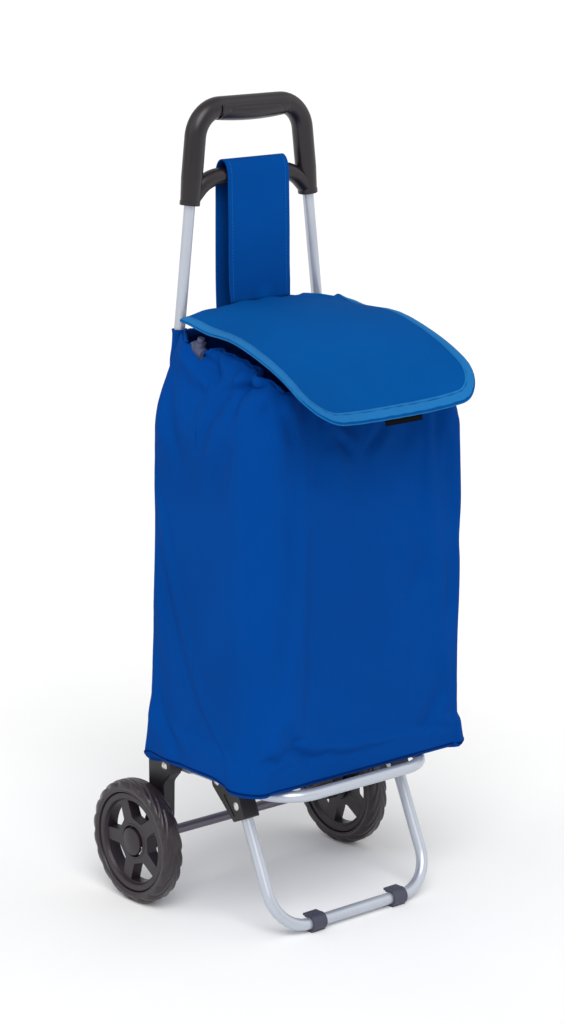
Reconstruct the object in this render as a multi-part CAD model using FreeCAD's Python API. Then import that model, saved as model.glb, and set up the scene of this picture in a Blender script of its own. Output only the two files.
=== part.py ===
import FreeCAD, Part
import math
import os

# Folding two-wheeled shopping trolley. Millimetres, +Z up, the front faces -Y.
# Inside this file Y is measured from the wheel axle. place() moves each piece so that the
# origin lies on the floor at the middle of the whole object's box.

V = FreeCAD.Vector
X_AXIS = V(1, 0, 0)
Y_AXIS = V(0, 1, 0)
Z_AXIS = V(0, 0, 1)
ORIGIN = V(0, 0, 0)

# Clearances
running_gap = 0.05         # radial, shaft in hole
slip_gap = 0.1             # radial, tube in socket
side_gap = 0.5             # between pieces that pass each other
soft_gap = 0.4             # between cloth and the frame
end_gap = 0.2              # past the end of a rod in a blind bore

# Wheels and axle
wheel_radius = 75.0
tyre_width = 26.0
tyre_seat_radius = 61.0
tyre_crown_width = 12.0
tyre_side_radius = 67.0
tyre_arc_out = 1.6         # how far the shoulder's arc stands out, sideways and down
tyre_arc_drop = 1.9
rim_width = 22.0
rim_inner_radius = 51.0
rim_lip_recess = 1.0       # where the lip starts, below the rim's side face
spoke_web_thickness = 14.0
spoke_web_recess = 4.5
spoke_count = 5
spoke_root_width = 17.0
spoke_tip_width = 15.0
spoke_start_angle = -20.8
window_root_radius = 27.0
window_root_corner = 4.5
window_rim_gap = 1.2
rim_lip = 3.0
rim_lip_step = 1.5
rim_edge_chamfer = 2.0
hub_radius = 22.0
hub_bead = 0.8
hub_back_step = 3.0
hub_recess_depth = 9.0
hub_recess_radius = 19.5
bush_wall = 2.5
bush_proud = 1.0           # past the rim, on the inner side
axle_radius = 6.0
wheel_plane = 161.5        # wheel's middle plane from the centre line
washer_thickness = 1.5
washer_gap = 0.1
washer_radius = 11.0
hub_cap_radius = 16.5
hub_cap_wall = 2.0
hub_cap_rise = 3.0
hub_cap_length = 9.0
split_pin_radius = 1.1
split_pin_leg = 6.0
split_pin_proud = 1.0
split_pin_head = 1.43
split_pin_leg_radius = 0.825
split_pin_spread = 0.55     # how far the bent legs lean outwards, against their spread
split_pin_angle = 25.0      # below level, at the front

# Tubes
tube_wall = 1.2
upright_radius = 6.5
upright_x = 135.5
upright_bottom_z = 100.0
frame_y = -17.0
lean_angle = 6.5
upright_bend_radius = 150.0
shelf_tube_radius = 7.0
shelf_tube_outset = 1.6    # side tube's outside, past its flattened end
shelf_z = 171.0
shelf_front_y = -219.0
shelf_corner_radius = 50.0
leg_bar_y = -211.0
leg_bar_z = 10.5
leg_angle = 24.5
leg_corner_radius = 46.0
leg_end_gap = 1.3          # below the shelf's side tube

# Rear brackets and the shelf's pivot
bracket_inner_wall = 2.2
bracket_outer_wall = 1.6
bracket_top_gap = 0.9      # below the bag
bracket_rear_depth = 11.0  # behind the upright
bracket_rear_foot_z = 118.0
bracket_front_depth = 5.0
bracket_waist_z = 150.0
bracket_nose = 11.0        # in front of the shelf's pivot
bracket_nose_drop = 8.0
bracket_chamfer = 1.0
bracket_lug_shoulder = 1.0   # above the axle lug, at the back
bracket_lug_flat = 0.4       # left between the lug's two rounds
bracket_foot_inset = 1.0     # behind the socket's front
bracket_foot_rise = 6.0      # above the upright's end
bracket_top_round = 3.0
bracket_rear_round = 20.0
bracket_rear_lug_round = 10.0
bracket_front_foot_round = 20.0
bracket_waist_round = 12.0
bracket_nose_round = 4.0
axle_lug_radius = 13.0
rivet_radius = 3.0
rivet_head_radius = 5.0
rivet_head_height = 1.8
rivet_tail_height = 1.2
rivet_tail_radius = 4.0
rivet_gap = 0.3
shelf_pivot_y = -30.0
pivot_washer_thickness = 1.8
pivot_washer_gap = 0.3
tab_thickness = 3.2
tab_flare = 0.4            # the flattened end's half height, over the tube's radius
tab_length = 24.0
tab_taper_length = 14.0
tab_overlap = 1.0          # of the taper's end and the flat
tab_taper_inset = 0.2      # of the taper's end, inside the flat's faces
bracket_screw_z = 140.0

# Leg brackets
leg_plate_thickness = 3.0
leg_plate_gap = 1.2
leg_pivot_y = -112.0
leg_rivet_station = 153.0   # along the leg from its bar
leg_bracket_tail = 17.0
leg_bracket_heel = 1.5
leg_bracket_shoulder = 20.0
leg_bracket_slope = 5.5
leg_bracket_throat = 6.0
leg_bracket_chin = 1.0     # how far the lowest front corner sits behind the one above it
leg_bracket_radii = [3.0, 2.0, 4.0, 5.0, 6.5, 6.5]
leg_panel_depth = 0.8
leg_panel_corner_radius = 1.0
leg_panel_corners = [(5.0, -8.0), (9.0, -4.5), (33.0, -9.0), (35.0, -17.0)]   # from the tail

# Foot clips
clip_end_gap = 0.3         # from the bend at the end of the leg's bar
clip_width = 20.0
clip_wall = 3.2
clip_tab_length = 11.0
clip_tab_thickness = 2.8
clip_mouth_half = 6.02     # half the height of the ring's opening
clip_mouth_start = 1.0
clip_foot_length = 9.5
clip_foot_front = 5.5
clip_foot_height = 4.4
clip_heel_radii = [1.0, 2.1, 2.1, 1.0]

# Handle
socket_x = 88.8
socket_z = 829.0
socket_depth = 58.0
socket_radius = 11.0
post_cone_length = 30.0
post_cone_overlap = 1.0     # with the bow above it
collar_length = 6.0
collar_step = 0.8
collar_chamfer = 0.7
grip_radius = 12.5
grip_z = 938.0
grip_corner_radius = 36.0
arch_z = 859.0
arch_radius = 10.0
arch_straight = 45.0
arch_bend_radius = 45.0
arch_bend_angle = 45.0
arch_run_out = 12.0
pad_length = 97.0
pad_bulge = 2.6
pad_seat_depth = 2.0
pad_end_step = 0.3
pad_gap = 0.1
pad_back = 4.0             # how far the pad reaches behind the grip's middle
pad_top = 2.0              # and above it
screw_radius = 1.8
screw_head_radius = 3.5
screw_head_height = 1.6
screw_z = 858.0

# Bag
bag_half_width = 165.0
bag_back_gap = 0.5         # from the uprights
bag_front_y = -213.0
bag_seat_gap = 1.4         # above the shelf
bag_shoulder_z = 600.0
bag_shoulder_radius = 60.0
bag_neck_half_width = 110.0
bag_neck_z = 690.0
bag_wall = 3.0
bag_corner_radius = 36.0
bag_back_corner_radius = 12.0
mouth_back_z = 688.0
mouth_front_z = 640.0
hem_height = 12.0
hem_wall = 10.0
hem_corner_radius = 26.0
hem_back_corner_radius = 14.3
cord_radius = 2.0
cord_tunnel_gap = 0.5
base_piping_radius = 2.0
base_piping_rise = 3.6      # above the bag's bottom
base_piping_proud = 1.6
sleeve_wall = 1.5
sleeve_bottom_z = 560.0
sleeve_top_z = 690.0
loop_strip_length = 55.0
loop_strip_height = 20.0
loop_strip_thickness = 1.5
loop_strip_drop = 6.0      # below the hem

# Cord lock
lock_distance = 42.0       # from the mouth's back edge
lock_length = 26.0
lock_radius = 7.0
lock_rise = 4.0
button_radius = 4.2
button_travel = 3.0
button_proud = 5.0
button_wall = 2.0
button_floor_wall = 1.0

# Strap
strap_width = 95.0
strap_thickness = 1.8
strap_gap = 0.3
strap_front_y = -36.0
strap_front_z = 714.0
strap_rear_z = 640.0

# Lid
lid_hinge_y = -38.5
lid_hinge_z = 703.0
lid_front_y = -288.0
lid_front_z = 621.0
lid_rise = 24.0            # height of the curve above its chord
lid_back_half_width = 121.0
lid_front_half_width = 130.5
lid_corner_radius = 42.0
lid_thickness = 3.6
binding_width = 10.0
binding_wall = 1.0
hook_strip_inset = 12.0

# Places that follow from the sizes above
bracket_inner_x = upright_x - upright_radius - bracket_inner_wall
bracket_outer_x = upright_x + upright_radius + bracket_outer_wall
tab_outer_x = bracket_inner_x - pivot_washer_thickness - pivot_washer_gap
tab_radius = shelf_tube_radius + tab_flare
shelf_x = tab_outer_x - shelf_tube_radius + shelf_tube_outset
bag_back_y = frame_y - upright_radius - bag_back_gap
bag_bottom_z = shelf_z + shelf_tube_radius + bag_seat_gap
bracket_top_z = bag_bottom_z - bracket_top_gap
origin_shift_y = -(lid_front_y + wheel_radius) / 2
lean = math.radians(lean_angle)
lean_dir = V(-math.sin(lean), 0, math.cos(lean))
upright_bend_z = socket_z - (upright_x - socket_x) / math.tan(lean)
leg_tilt = math.radians(leg_angle)
leg_dir = V(0, math.sin(leg_tilt), math.cos(leg_tilt))
leg_front_normal = V(0, -math.cos(leg_tilt), math.sin(leg_tilt))
leg_bar = V(0, leg_bar_y, leg_bar_z)
leg_end_z = shelf_z - shelf_tube_radius - leg_end_gap - shelf_tube_radius * leg_dir.y
leg_length = (leg_end_z - leg_bar_z) / leg_dir.z
clip_x = shelf_x - leg_corner_radius - clip_end_gap - clip_width / 2
hub_outer_x = wheel_plane + rim_width / 2 - hub_recess_depth
hub_cap_x = hub_outer_x + washer_thickness + 2 * washer_gap
axle_half_length = hub_cap_x + hub_cap_length - hub_cap_wall - hub_cap_rise / 2
split_pin_x = hub_outer_x + washer_thickness + split_pin_radius + side_gap
bag_depth = bag_back_y - bag_front_y
mouth_slope = math.atan2(mouth_back_z - mouth_front_z, bag_depth)
mouth_dir = V(0, -math.cos(mouth_slope), -math.sin(mouth_slope))
mouth_up = V(0, -math.sin(mouth_slope), math.cos(mouth_slope))


def place(shape, name):
    """Move one piece to the object's own frame and write it."""
    shape.translate(V(0, origin_shift_y, 0))
    shape.exportStep("parts/" + name + ".step")


def mirrored(shape):
    return shape.mirror(ORIGIN, X_AXIS)


def both_sides(name, shape):
    """Write a right-hand piece and its left-hand mirror image."""
    left = mirrored(shape)
    place(left, name + "_left")
    place(shape, name + "_right")


def pair(shape):
    """One group that holds a right-hand solid and its left-hand mirror image."""
    return Part.makeCompound([mirrored(shape), shape])


def x_cylinder(radius, x_from, x_to, y, z):
    return Part.makeCylinder(radius, x_to - x_from, V(x_from, y, z), X_AXIS)


def rounded_edges(points, radii, closed):
    """Straight edges through the points, with an arc of the given radius at each corner."""
    count = len(points)
    starts = []
    ends = []
    arcs = []
    for i in range(count):
        corner = points[i]
        if radii[i] == 0:
            starts.append(corner)
            ends.append(corner)
            arcs.append(None)
            continue
        to_last = (points[i - 1] - corner).normalize()
        to_next = (points[(i + 1) % count] - corner).normalize()
        half = to_last.getAngle(to_next) / 2
        reach = radii[i] / math.tan(half)
        first = corner + to_last * reach
        last = corner + to_next * reach
        middle_dir = (to_last + to_next).normalize()
        middle = corner + middle_dir * (radii[i] / math.sin(half) - radii[i])
        starts.append(first)
        ends.append(last)
        arcs.append(Part.Arc(first, middle, last).toShape())
    edges = []
    for i in range(count):
        if arcs[i] is not None:
            edges.append(arcs[i])
        if i + 1 < count or closed:
            target = starts[(i + 1) % count]
            if ends[i].distanceToPoint(target) > 1e-6:
                edges.append(Part.LineSegment(ends[i], target).toShape())
    return Part.Wire(edges)


def outline(points, radii):
    return rounded_edges(points, radii, True)


def prism(wire, sweep):
    return Part.Face(wire).extrude(sweep)


def rod_along(path, radius, start, direction):
    """A round rod that follows a wire."""
    section = Part.Wire([Part.makeCircle(radius, start, direction)])
    return path.makePipeShell([section], True, False)


def revolved_about_x(points, x, y, z):
    """Turn an outline of (along x, radius) points about an axle line."""
    corners = [V(x + a, y, z + r) for a, r in points]
    face = Part.Face(Part.makePolygon(corners + corners[:1]))
    return face.revolve(V(x, y, z), X_AXIS, 360)


# ---------------------------------------------------------------- wheels

def make_tyre():
    half = tyre_width / 2
    crown = tyre_crown_width / 2
    x, z = wheel_plane, wheel_radius
    seat_out = V(x + half, 0, z + tyre_seat_radius)
    seat_in = V(x - half, 0, z + tyre_seat_radius)
    side_out = V(x + half, 0, z + tyre_side_radius)
    side_in = V(x - half, 0, z + tyre_side_radius)
    top_out = V(x + crown, 0, z + wheel_radius)
    top_in = V(x - crown, 0, z + wheel_radius)
    bend = (half + crown) / 2 + tyre_arc_out
    mid_out = V(x + bend, 0, z + wheel_radius - tyre_arc_drop)
    mid_in = V(x - bend, 0, z + wheel_radius - tyre_arc_drop)
    edges = [
        Part.LineSegment(seat_in, seat_out).toShape(),
        Part.LineSegment(seat_out, side_out).toShape(),
        Part.Arc(side_out, mid_out, top_out).toShape(),
        Part.LineSegment(top_out, top_in).toShape(),
        Part.Arc(top_in, mid_in, side_in).toShape(),
        Part.LineSegment(side_in, seat_in).toShape(),
    ]
    face = Part.Face(Part.Wire(edges))
    return face.revolve(V(x, 0, z), X_AXIS, 360)


def window_cutter():
    """The hole between two spokes, straight up from the hub and rounded off by the rim."""
    step = math.pi / spoke_count
    root_half = window_root_radius * math.tan(step) - spoke_root_width / 2 / math.cos(step)
    tip_half = rim_inner_radius * math.sin(step) - spoke_tip_width / 2 * math.cos(step)
    tip_z = rim_inner_radius * math.cos(step) + spoke_tip_width / 2 * math.sin(step)
    widening = (tip_half - root_half) / (tip_z - window_root_radius)
    top_half = root_half + widening * (rim_inner_radius - window_root_radius)
    x = wheel_plane - rim_width
    corners = [
        V(x, -root_half, window_root_radius),
        V(x, root_half, window_root_radius),
        V(x, top_half, rim_inner_radius),
        V(x, -top_half, rim_inner_radius),
    ]
    radii = [window_root_corner, window_root_corner, 0, 0]
    cutter = prism(outline(corners, radii), V(2 * rim_width, 0, 0))
    cutter = cutter.common(x_cylinder(rim_inner_radius - window_rim_gap, x, x + 2 * rim_width, 0, 0))
    cutter.translate(V(0, 0, wheel_radius))
    return cutter


def make_rim():
    half = rim_width / 2
    web_out = half - spoke_web_recess
    web_in = web_out - spoke_web_thickness
    bush_radius = axle_radius + running_gap + bush_wall
    profile = [
        (-half, bush_radius),
        (half - hub_recess_depth, bush_radius),
        (half - hub_recess_depth, hub_recess_radius),
        (web_out + hub_bead, hub_recess_radius),
        (web_out + hub_bead, hub_radius - hub_bead),
        (web_out, hub_radius),
        (web_out, rim_inner_radius),
        (half - rim_lip_recess, rim_inner_radius + rim_lip_step),
        (half, rim_inner_radius + rim_lip),
        (half, tyre_seat_radius - rim_edge_chamfer),
        (half - rim_edge_chamfer, tyre_seat_radius),
        (-half + rim_edge_chamfer, tyre_seat_radius),
        (-half, tyre_seat_radius - rim_edge_chamfer),
        (-half, rim_inner_radius + rim_lip),
        (web_in, rim_inner_radius),
        (web_in, hub_radius - hub_back_step),
        (-half, hub_radius - hub_back_step),
    ]
    rim = revolved_about_x(profile, wheel_plane, 0, wheel_radius)
    for i in range(spoke_count):
        cutter = window_cutter()
        turn = spoke_start_angle + 360 / spoke_count * (i + 0.5)
        cutter.rotate(V(0, 0, wheel_radius), X_AXIS, turn)
        rim = rim.cut(cutter)
    return rim


def make_bush():
    half = rim_width / 2
    outer = x_cylinder(axle_radius + running_gap + bush_wall, wheel_plane - half - bush_proud,
                       hub_outer_x, 0, wheel_radius)
    bore = x_cylinder(axle_radius + running_gap, 0, 2 * wheel_plane, 0, wheel_radius)
    return outer.cut(bore)


def make_axle():
    rod = x_cylinder(axle_radius, -axle_half_length, axle_half_length, 0, wheel_radius)
    hole = split_pin_rod(split_pin_radius + running_gap, 2 * hub_recess_radius)
    return rod.cut(hole).cut(mirrored(hole))


def split_pin_rod(radius, length):
    """A rod across the axle end, sloping down towards the front."""
    slope = math.radians(split_pin_angle)
    forward = V(0, -math.cos(slope), -math.sin(slope))
    middle = V(split_pin_x, 0, wheel_radius)
    return Part.makeCylinder(radius, length, middle - forward * (length / 2), forward)


def make_hub_cap():
    """A domed cap over the axle end, held by the split pin."""
    x_to = hub_cap_x + hub_cap_length
    ball = (hub_cap_radius ** 2 + hub_cap_rise ** 2) / (2 * hub_cap_rise)
    dome = Part.makeSphere(ball, V(x_to - ball, 0, wheel_radius))
    body = x_cylinder(hub_cap_radius, hub_cap_x, x_to, 0, wheel_radius).common(dome)
    bore = x_cylinder(axle_radius + running_gap, 0, axle_half_length + end_gap, 0, wheel_radius)
    pin = split_pin_rod(split_pin_radius + running_gap, 2 * hub_recess_radius)
    return body.cut(bore).cut(pin)


def make_split_pin():
    """A pin through the cap and axle, with a head behind and two legs bent apart in front."""
    reach = hub_cap_radius + split_pin_proud
    shank = split_pin_rod(split_pin_radius, 2 * reach)
    slope = math.radians(split_pin_angle)
    forward = V(0, -math.cos(slope), -math.sin(slope))
    across = V(0, math.sin(slope), -math.cos(slope))
    middle = V(split_pin_x, 0, wheel_radius)
    tip = middle + forward * reach
    pieces = [Part.makeSphere(split_pin_head, middle - forward * reach),
              Part.makeSphere(split_pin_radius, tip)]
    for side in (-1, 1):
        direction = X_AXIS * split_pin_spread + across * side
        pieces.append(Part.makeCylinder(split_pin_leg_radius, split_pin_leg, tip, direction))
    return shank.fuse(pieces).removeSplitter()


def make_washers():
    """Two washers for one wheel, inside and outside."""
    rings = []
    inner_from = wheel_plane - rim_width / 2 - bush_proud - washer_thickness - 2 * washer_gap
    for x_from in (inner_from, hub_outer_x + washer_gap):
        ring = x_cylinder(washer_radius, x_from, x_from + washer_thickness, 0, wheel_radius)
        hole = x_cylinder(axle_radius, 0, 2 * wheel_plane, 0, wheel_radius)
        rings.append(ring.cut(hole))
    return rings


# ---------------------------------------------------------------- uprights and rear brackets

def upright_path():
    points = [
        V(upright_x, frame_y, upright_bottom_z),
        V(upright_x, frame_y, upright_bend_z),
        V(socket_x, frame_y, socket_z) + lean_dir * (socket_depth - 2),
    ]
    return rounded_edges(points, [0, upright_bend_radius, 0], False)


def screw_point(z):
    """The upright's middle at a height inside the handle socket."""
    return V(socket_x, frame_y, socket_z) + lean_dir * ((z - socket_z) / lean_dir.z)


def screw_hole(z, x=None):
    centre = screw_point(z) if x is None else V(x, frame_y, z)
    return Part.makeCylinder(screw_radius, 30, centre, Y_AXIS)


def make_upright():
    start = V(upright_x, frame_y, upright_bottom_z)
    path = upright_path()
    outer = rod_along(path, upright_radius, start, Z_AXIS)
    inner = rod_along(path, upright_radius - tube_wall, start, Z_AXIS)
    tube = outer.cut(inner)
    return tube.cut(screw_hole(screw_z)).cut(screw_hole(bracket_screw_z, upright_x))


def bracket_outline(x):
    """Side view of the rear bracket: a socket that sweeps back to the axle lug."""
    rear = frame_y + upright_radius + bracket_rear_depth
    front = frame_y - upright_radius - bracket_front_depth
    nose = shelf_pivot_y - bracket_nose
    lug = axle_lug_radius
    corners = [
        V(x, nose, bracket_top_z),
        V(x, rear, bracket_top_z),
        V(x, rear, bracket_rear_foot_z),
        V(x, lug, wheel_radius + lug + bracket_lug_shoulder),
        V(x, lug, wheel_radius - lug),
        V(x, -lug, wheel_radius - lug),
        V(x, front + bracket_foot_inset, upright_bottom_z + bracket_foot_rise),
        V(x, front, bracket_waist_z),
        V(x, nose, shelf_z - bracket_nose_drop),
    ]
    lug_round = lug - bracket_lug_flat
    radii = [bracket_top_round, bracket_top_round, bracket_rear_round, bracket_rear_lug_round,
             lug_round, lug_round, bracket_front_foot_round, bracket_waist_round,
             bracket_nose_round]
    return outline(corners, radii)


def make_rear_bracket():
    width = bracket_outer_x - bracket_inner_x
    body = prism(bracket_outline(bracket_inner_x), V(width, 0, 0))
    rim_edges = [e for e in body.Edges if e.BoundBox.XMin > bracket_outer_x - 0.01]
    body = body.makeChamfer(bracket_chamfer, rim_edges)
    socket = Part.makeCylinder(upright_radius + running_gap, 200,
                               V(upright_x, frame_y, upright_bottom_z), Z_AXIS)
    axle_bore = x_cylinder(axle_radius + running_gap, 0, 200, 0, wheel_radius)
    pivot_bore = x_cylinder(rivet_radius + running_gap, 0, 200, shelf_pivot_y, shelf_z)
    body = body.cut(socket).cut(axle_bore).cut(pivot_bore)
    return body.cut(screw_hole(bracket_screw_z, upright_x))


def rivet_along_x(x_from, x_to, y, z):
    """A rivet with a domed head at each end; the shank runs between the two places."""
    shank = x_cylinder(rivet_radius, x_from, x_to, y, z)
    rise = rivet_head_height
    ball = (rivet_head_radius ** 2 + rise ** 2) / (2 * rise)
    outer = Part.makeSphere(ball, V(x_to + rise - ball, y, z))
    outer = outer.common(x_cylinder(rivet_head_radius, x_to, x_to + rise, y, z))
    inner = x_cylinder(rivet_tail_radius, x_from - rivet_tail_height, x_from, y, z)
    return shank.fuse([outer, inner]).removeSplitter()


def make_pivot_washer():
    ring = x_cylinder(tab_radius - tab_flare, tab_outer_x + pivot_washer_gap, bracket_inner_x,
                      shelf_pivot_y, shelf_z)
    return ring.cut(x_cylinder(rivet_radius, 0, bracket_outer_x, shelf_pivot_y, shelf_z))


def make_bracket_screw():
    """A pan-head screw from behind, through bracket and upright."""
    rear = frame_y + upright_radius + bracket_rear_depth
    head = Part.makeCylinder(screw_head_radius, screw_head_height,
                             V(upright_x, rear, bracket_screw_z), Y_AXIS)
    shank = Part.makeCylinder(screw_radius, rear - frame_y, V(upright_x, frame_y, bracket_screw_z),
                              Y_AXIS)
    return head.fuse(shank).removeSplitter()


# ---------------------------------------------------------------- shelf

def make_shelf_tube():
    start_y = shelf_pivot_y - tab_length - tab_taper_length
    points = [
        V(shelf_x, start_y, shelf_z),
        V(shelf_x, shelf_front_y, shelf_z),
        V(-shelf_x, shelf_front_y, shelf_z),
        V(-shelf_x, start_y, shelf_z),
    ]
    path = rounded_edges(points, [0, shelf_corner_radius, shelf_corner_radius, 0], False)
    tube = rod_along(path, shelf_tube_radius, points[0], Y_AXIS)
    bore = rod_along(path, shelf_tube_radius - tube_wall, points[0], Y_AXIS)
    tube = tube.cut(bore)
    tab_x = tab_outer_x - tab_thickness
    tab_start = shelf_pivot_y - tab_length
    tab = Part.makeBox(tab_thickness, tab_length, 2 * tab_radius,
                       V(tab_x, tab_start, shelf_z - tab_radius))
    tab_end = x_cylinder(tab_radius, tab_x, tab_outer_x, shelf_pivot_y, shelf_z)
    round_section = Part.Wire([Part.makeCircle(shelf_tube_radius, points[0], Y_AXIS)])
    middle = V(tab_outer_x - tab_thickness / 2, tab_start + tab_overlap, shelf_z)
    flat = Part.Ellipse(middle + V(0, 0, tab_radius - tab_taper_inset),
                        middle + V((tab_thickness - tab_taper_inset) / 2, 0, 0), middle)
    flat_section = Part.Wire([flat.toShape()])
    taper = Part.makeLoft([round_section, flat_section], True)
    end = taper.fuse([tab, tab_end]).cut(
        x_cylinder(rivet_radius + running_gap, 0, 200, shelf_pivot_y, shelf_z))
    shelf = tube.fuse([end, mirrored(end)]).removeSplitter()
    return shelf.cut(x_cylinder(rivet_radius, -200, 200, leg_pivot_y, shelf_z))


# ---------------------------------------------------------------- front leg

def leg_point(station, forward):
    """A point in the leg's side plane: along the leg from its bar, and in front of its axis."""
    return leg_bar + leg_dir * station + leg_front_normal * forward


def make_leg_tube():
    top = leg_dir * leg_length
    right = V(shelf_x, 0, 0)
    points = [leg_bar + right + top, leg_bar + right, leg_bar - right, leg_bar - right + top]
    path = rounded_edges(points, [0, leg_corner_radius, leg_corner_radius, 0], False)
    outer = rod_along(path, shelf_tube_radius, points[0], leg_dir)
    inner = rod_along(path, shelf_tube_radius - tube_wall, points[0], leg_dir)
    tube = outer.cut(inner)
    rivet = leg_point(leg_rivet_station, 0)
    return tube.cut(x_cylinder(rivet_radius, -200, 200, rivet.y, rivet.z))


def leg_plate_outer_x():
    return shelf_x + shelf_tube_radius + leg_plate_gap + leg_plate_thickness


def leg_plate_inner_x():
    return shelf_x - shelf_tube_radius - leg_plate_gap - leg_plate_thickness


def make_leg_bracket():
    """A channel that holds the leg's end and turns on the shelf's side tube."""
    front = shelf_tube_radius + slip_gap + leg_plate_thickness
    tail = leg_rivet_station - leg_bracket_tail
    x = leg_plate_inner_x()
    top_z = shelf_z + tab_radius
    shoulder = leg_point(leg_rivet_station + leg_bracket_shoulder, front)
    corners = [leg_point(tail, -front - leg_bracket_heel), leg_point(tail, front), shoulder]
    corners.append(V(0, shoulder.y + leg_bracket_slope, top_z))
    corners.append(V(0, leg_pivot_y + tab_radius, top_z))
    corners.append(V(0, leg_pivot_y + tab_radius + leg_bracket_chin, shelf_z - leg_bracket_throat))
    corners = [c + V(x, 0, 0) for c in corners]
    side = outline(corners, leg_bracket_radii)
    width = leg_plate_outer_x() - x
    block = prism(side, V(width, 0, 0))
    hollow = Part.makeBox(width - 2 * leg_plate_thickness, 120, 120,
                          V(x + leg_plate_thickness, 0, -60))
    hollow.rotate(ORIGIN, X_AXIS, -leg_angle)
    hollow.translate(leg_point(leg_rivet_station, shelf_tube_radius + slip_gap))
    tube_room = Part.makeBox(width - 2 * leg_plate_thickness, 120, 60,
                             V(x + leg_plate_thickness, shelf_front_y + 40,
                               shelf_z - shelf_tube_radius - side_gap))
    block = block.cut(hollow).cut(tube_room)
    rivet = leg_point(leg_rivet_station, 0)
    block = block.cut(x_cylinder(rivet_radius, 0, 200, rivet.y, rivet.z))
    block = block.cut(x_cylinder(rivet_radius + running_gap, 0, 200, leg_pivot_y, shelf_z))
    panel_x = V(leg_plate_outer_x() - leg_panel_depth, 0, 0)
    panel = [leg_point(tail + station, forward) + panel_x for station, forward in leg_panel_corners]
    radii = [leg_panel_corner_radius] * len(panel)
    return block.cut(prism(outline(panel, radii), V(leg_plate_thickness, 0, 0)))


def make_foot_clip():
    """A clip-on foot: a ring open at the back, with a tab above and a heel below."""
    inner = shelf_tube_radius
    outer = inner + clip_wall
    x = clip_x - clip_width / 2
    ring = x_cylinder(outer, x, x + clip_width, leg_bar_y, leg_bar_z)
    ring = ring.cut(Part.makeBox(clip_width, outer, 2 * clip_mouth_half,
                                 V(x, leg_bar_y + clip_mouth_start, leg_bar_z - clip_mouth_half)))
    tab = Part.makeBox(clip_width, clip_tab_length, clip_tab_thickness,
                       V(x, leg_bar_y, leg_bar_z + inner))
    heel_corners = [
        V(x, leg_bar_y - clip_foot_front, 0),
        V(x, leg_bar_y + clip_foot_length, 0),
        V(x, leg_bar_y + clip_foot_length, clip_foot_height),
        V(x, leg_bar_y - clip_foot_front, clip_foot_height),
    ]
    heel = prism(outline(heel_corners, clip_heel_radii), V(clip_width, 0, 0))
    bore = x_cylinder(inner, 0, 200, leg_bar_y, leg_bar_z)
    return ring.fuse([tab, heel]).cut(bore).removeSplitter()


# ---------------------------------------------------------------- handle

def handle_corner():
    rise = (grip_z - socket_z) / lean_dir.z
    return V(socket_x, frame_y, socket_z) + lean_dir * rise


def pad_cutter(clearance):
    """The part of the grip's round that the soft pad fills: its front and underside."""
    half = pad_length / 2 + clearance
    wedge = x_cylinder(grip_radius + 10, -half, half, frame_y, grip_z)
    keep = Part.makeBox(2 * half, 60, 60, V(-half, frame_y - 60 + pad_back, grip_z - 60 + pad_top))
    return wedge.common(keep)


def make_handle():
    base = V(socket_x, frame_y, socket_z)
    corner = handle_corner()
    left_corner = V(-corner.x, corner.y, corner.z)
    left_base = V(-socket_x, frame_y, socket_z)
    radii = [0, grip_corner_radius, grip_corner_radius, 0]
    bow_start = base + lean_dir * post_cone_length
    left_start = left_base + V(-lean_dir.x, 0, lean_dir.z) * post_cone_length
    path = rounded_edges([bow_start, corner, left_corner, left_start], radii, False)
    bow = rod_along(path, grip_radius, bow_start, lean_dir)
    post = Part.makeCone(socket_radius, grip_radius, post_cone_length + post_cone_overlap, base, lean_dir)
    collar = Part.makeCylinder(socket_radius + collar_step, collar_length, base, lean_dir)
    collar = collar.makeChamfer(collar_chamfer, collar.Edges)
    bend = math.radians(arch_bend_angle)
    arch_end = V(arch_straight + arch_bend_radius * math.sin(bend), frame_y,
                 arch_z - arch_bend_radius * (1 - math.cos(bend)))
    down = V(math.cos(bend), 0, -math.sin(bend))
    knee = V(arch_straight + arch_bend_radius * math.tan(bend / 2), frame_y, arch_z)
    foot = arch_end + down * arch_run_out
    left_foot = V(-foot.x, foot.y, foot.z)
    left_knee = V(-knee.x, knee.y, knee.z)
    arch_path = rounded_edges([foot, knee, left_knee, left_foot],
                              [0, arch_bend_radius, arch_bend_radius, 0], False)
    arch = rod_along(arch_path, arch_radius, foot, down)
    body = bow.fuse([post, mirrored(post), collar, mirrored(collar), arch])
    bore = Part.makeCylinder(upright_radius + running_gap, socket_depth, base, lean_dir)
    body = body.cut(bore).cut(mirrored(bore))
    hole = screw_hole(screw_z)
    body = body.cut(hole).cut(mirrored(hole))
    core = x_cylinder(grip_radius - pad_seat_depth, -100, 100, frame_y, grip_z)
    return body.cut(pad_cutter(pad_gap).cut(core)).removeSplitter()


def make_handle_pad():
    half = pad_length / 2
    ends = V(half, frame_y, grip_z + grip_radius + pad_end_step)
    top = V(0, frame_y, grip_z + grip_radius + pad_bulge)
    curve = Part.Arc(V(-half, ends.y, ends.z), top, ends).toShape()
    floor_left = V(-half, frame_y, grip_z)
    floor_right = V(half, frame_y, grip_z)
    face = Part.Face(Part.Wire([
        curve,
        Part.LineSegment(ends, floor_right).toShape(),
        Part.LineSegment(floor_right, floor_left).toShape(),
        Part.LineSegment(floor_left, V(-half, ends.y, ends.z)).toShape(),
    ]))
    barrel = face.revolve(V(0, frame_y, grip_z), X_AXIS, 360)
    core = x_cylinder(grip_radius - pad_seat_depth, -100, 100, frame_y, grip_z)
    return barrel.cut(core).common(pad_cutter(0))


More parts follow.
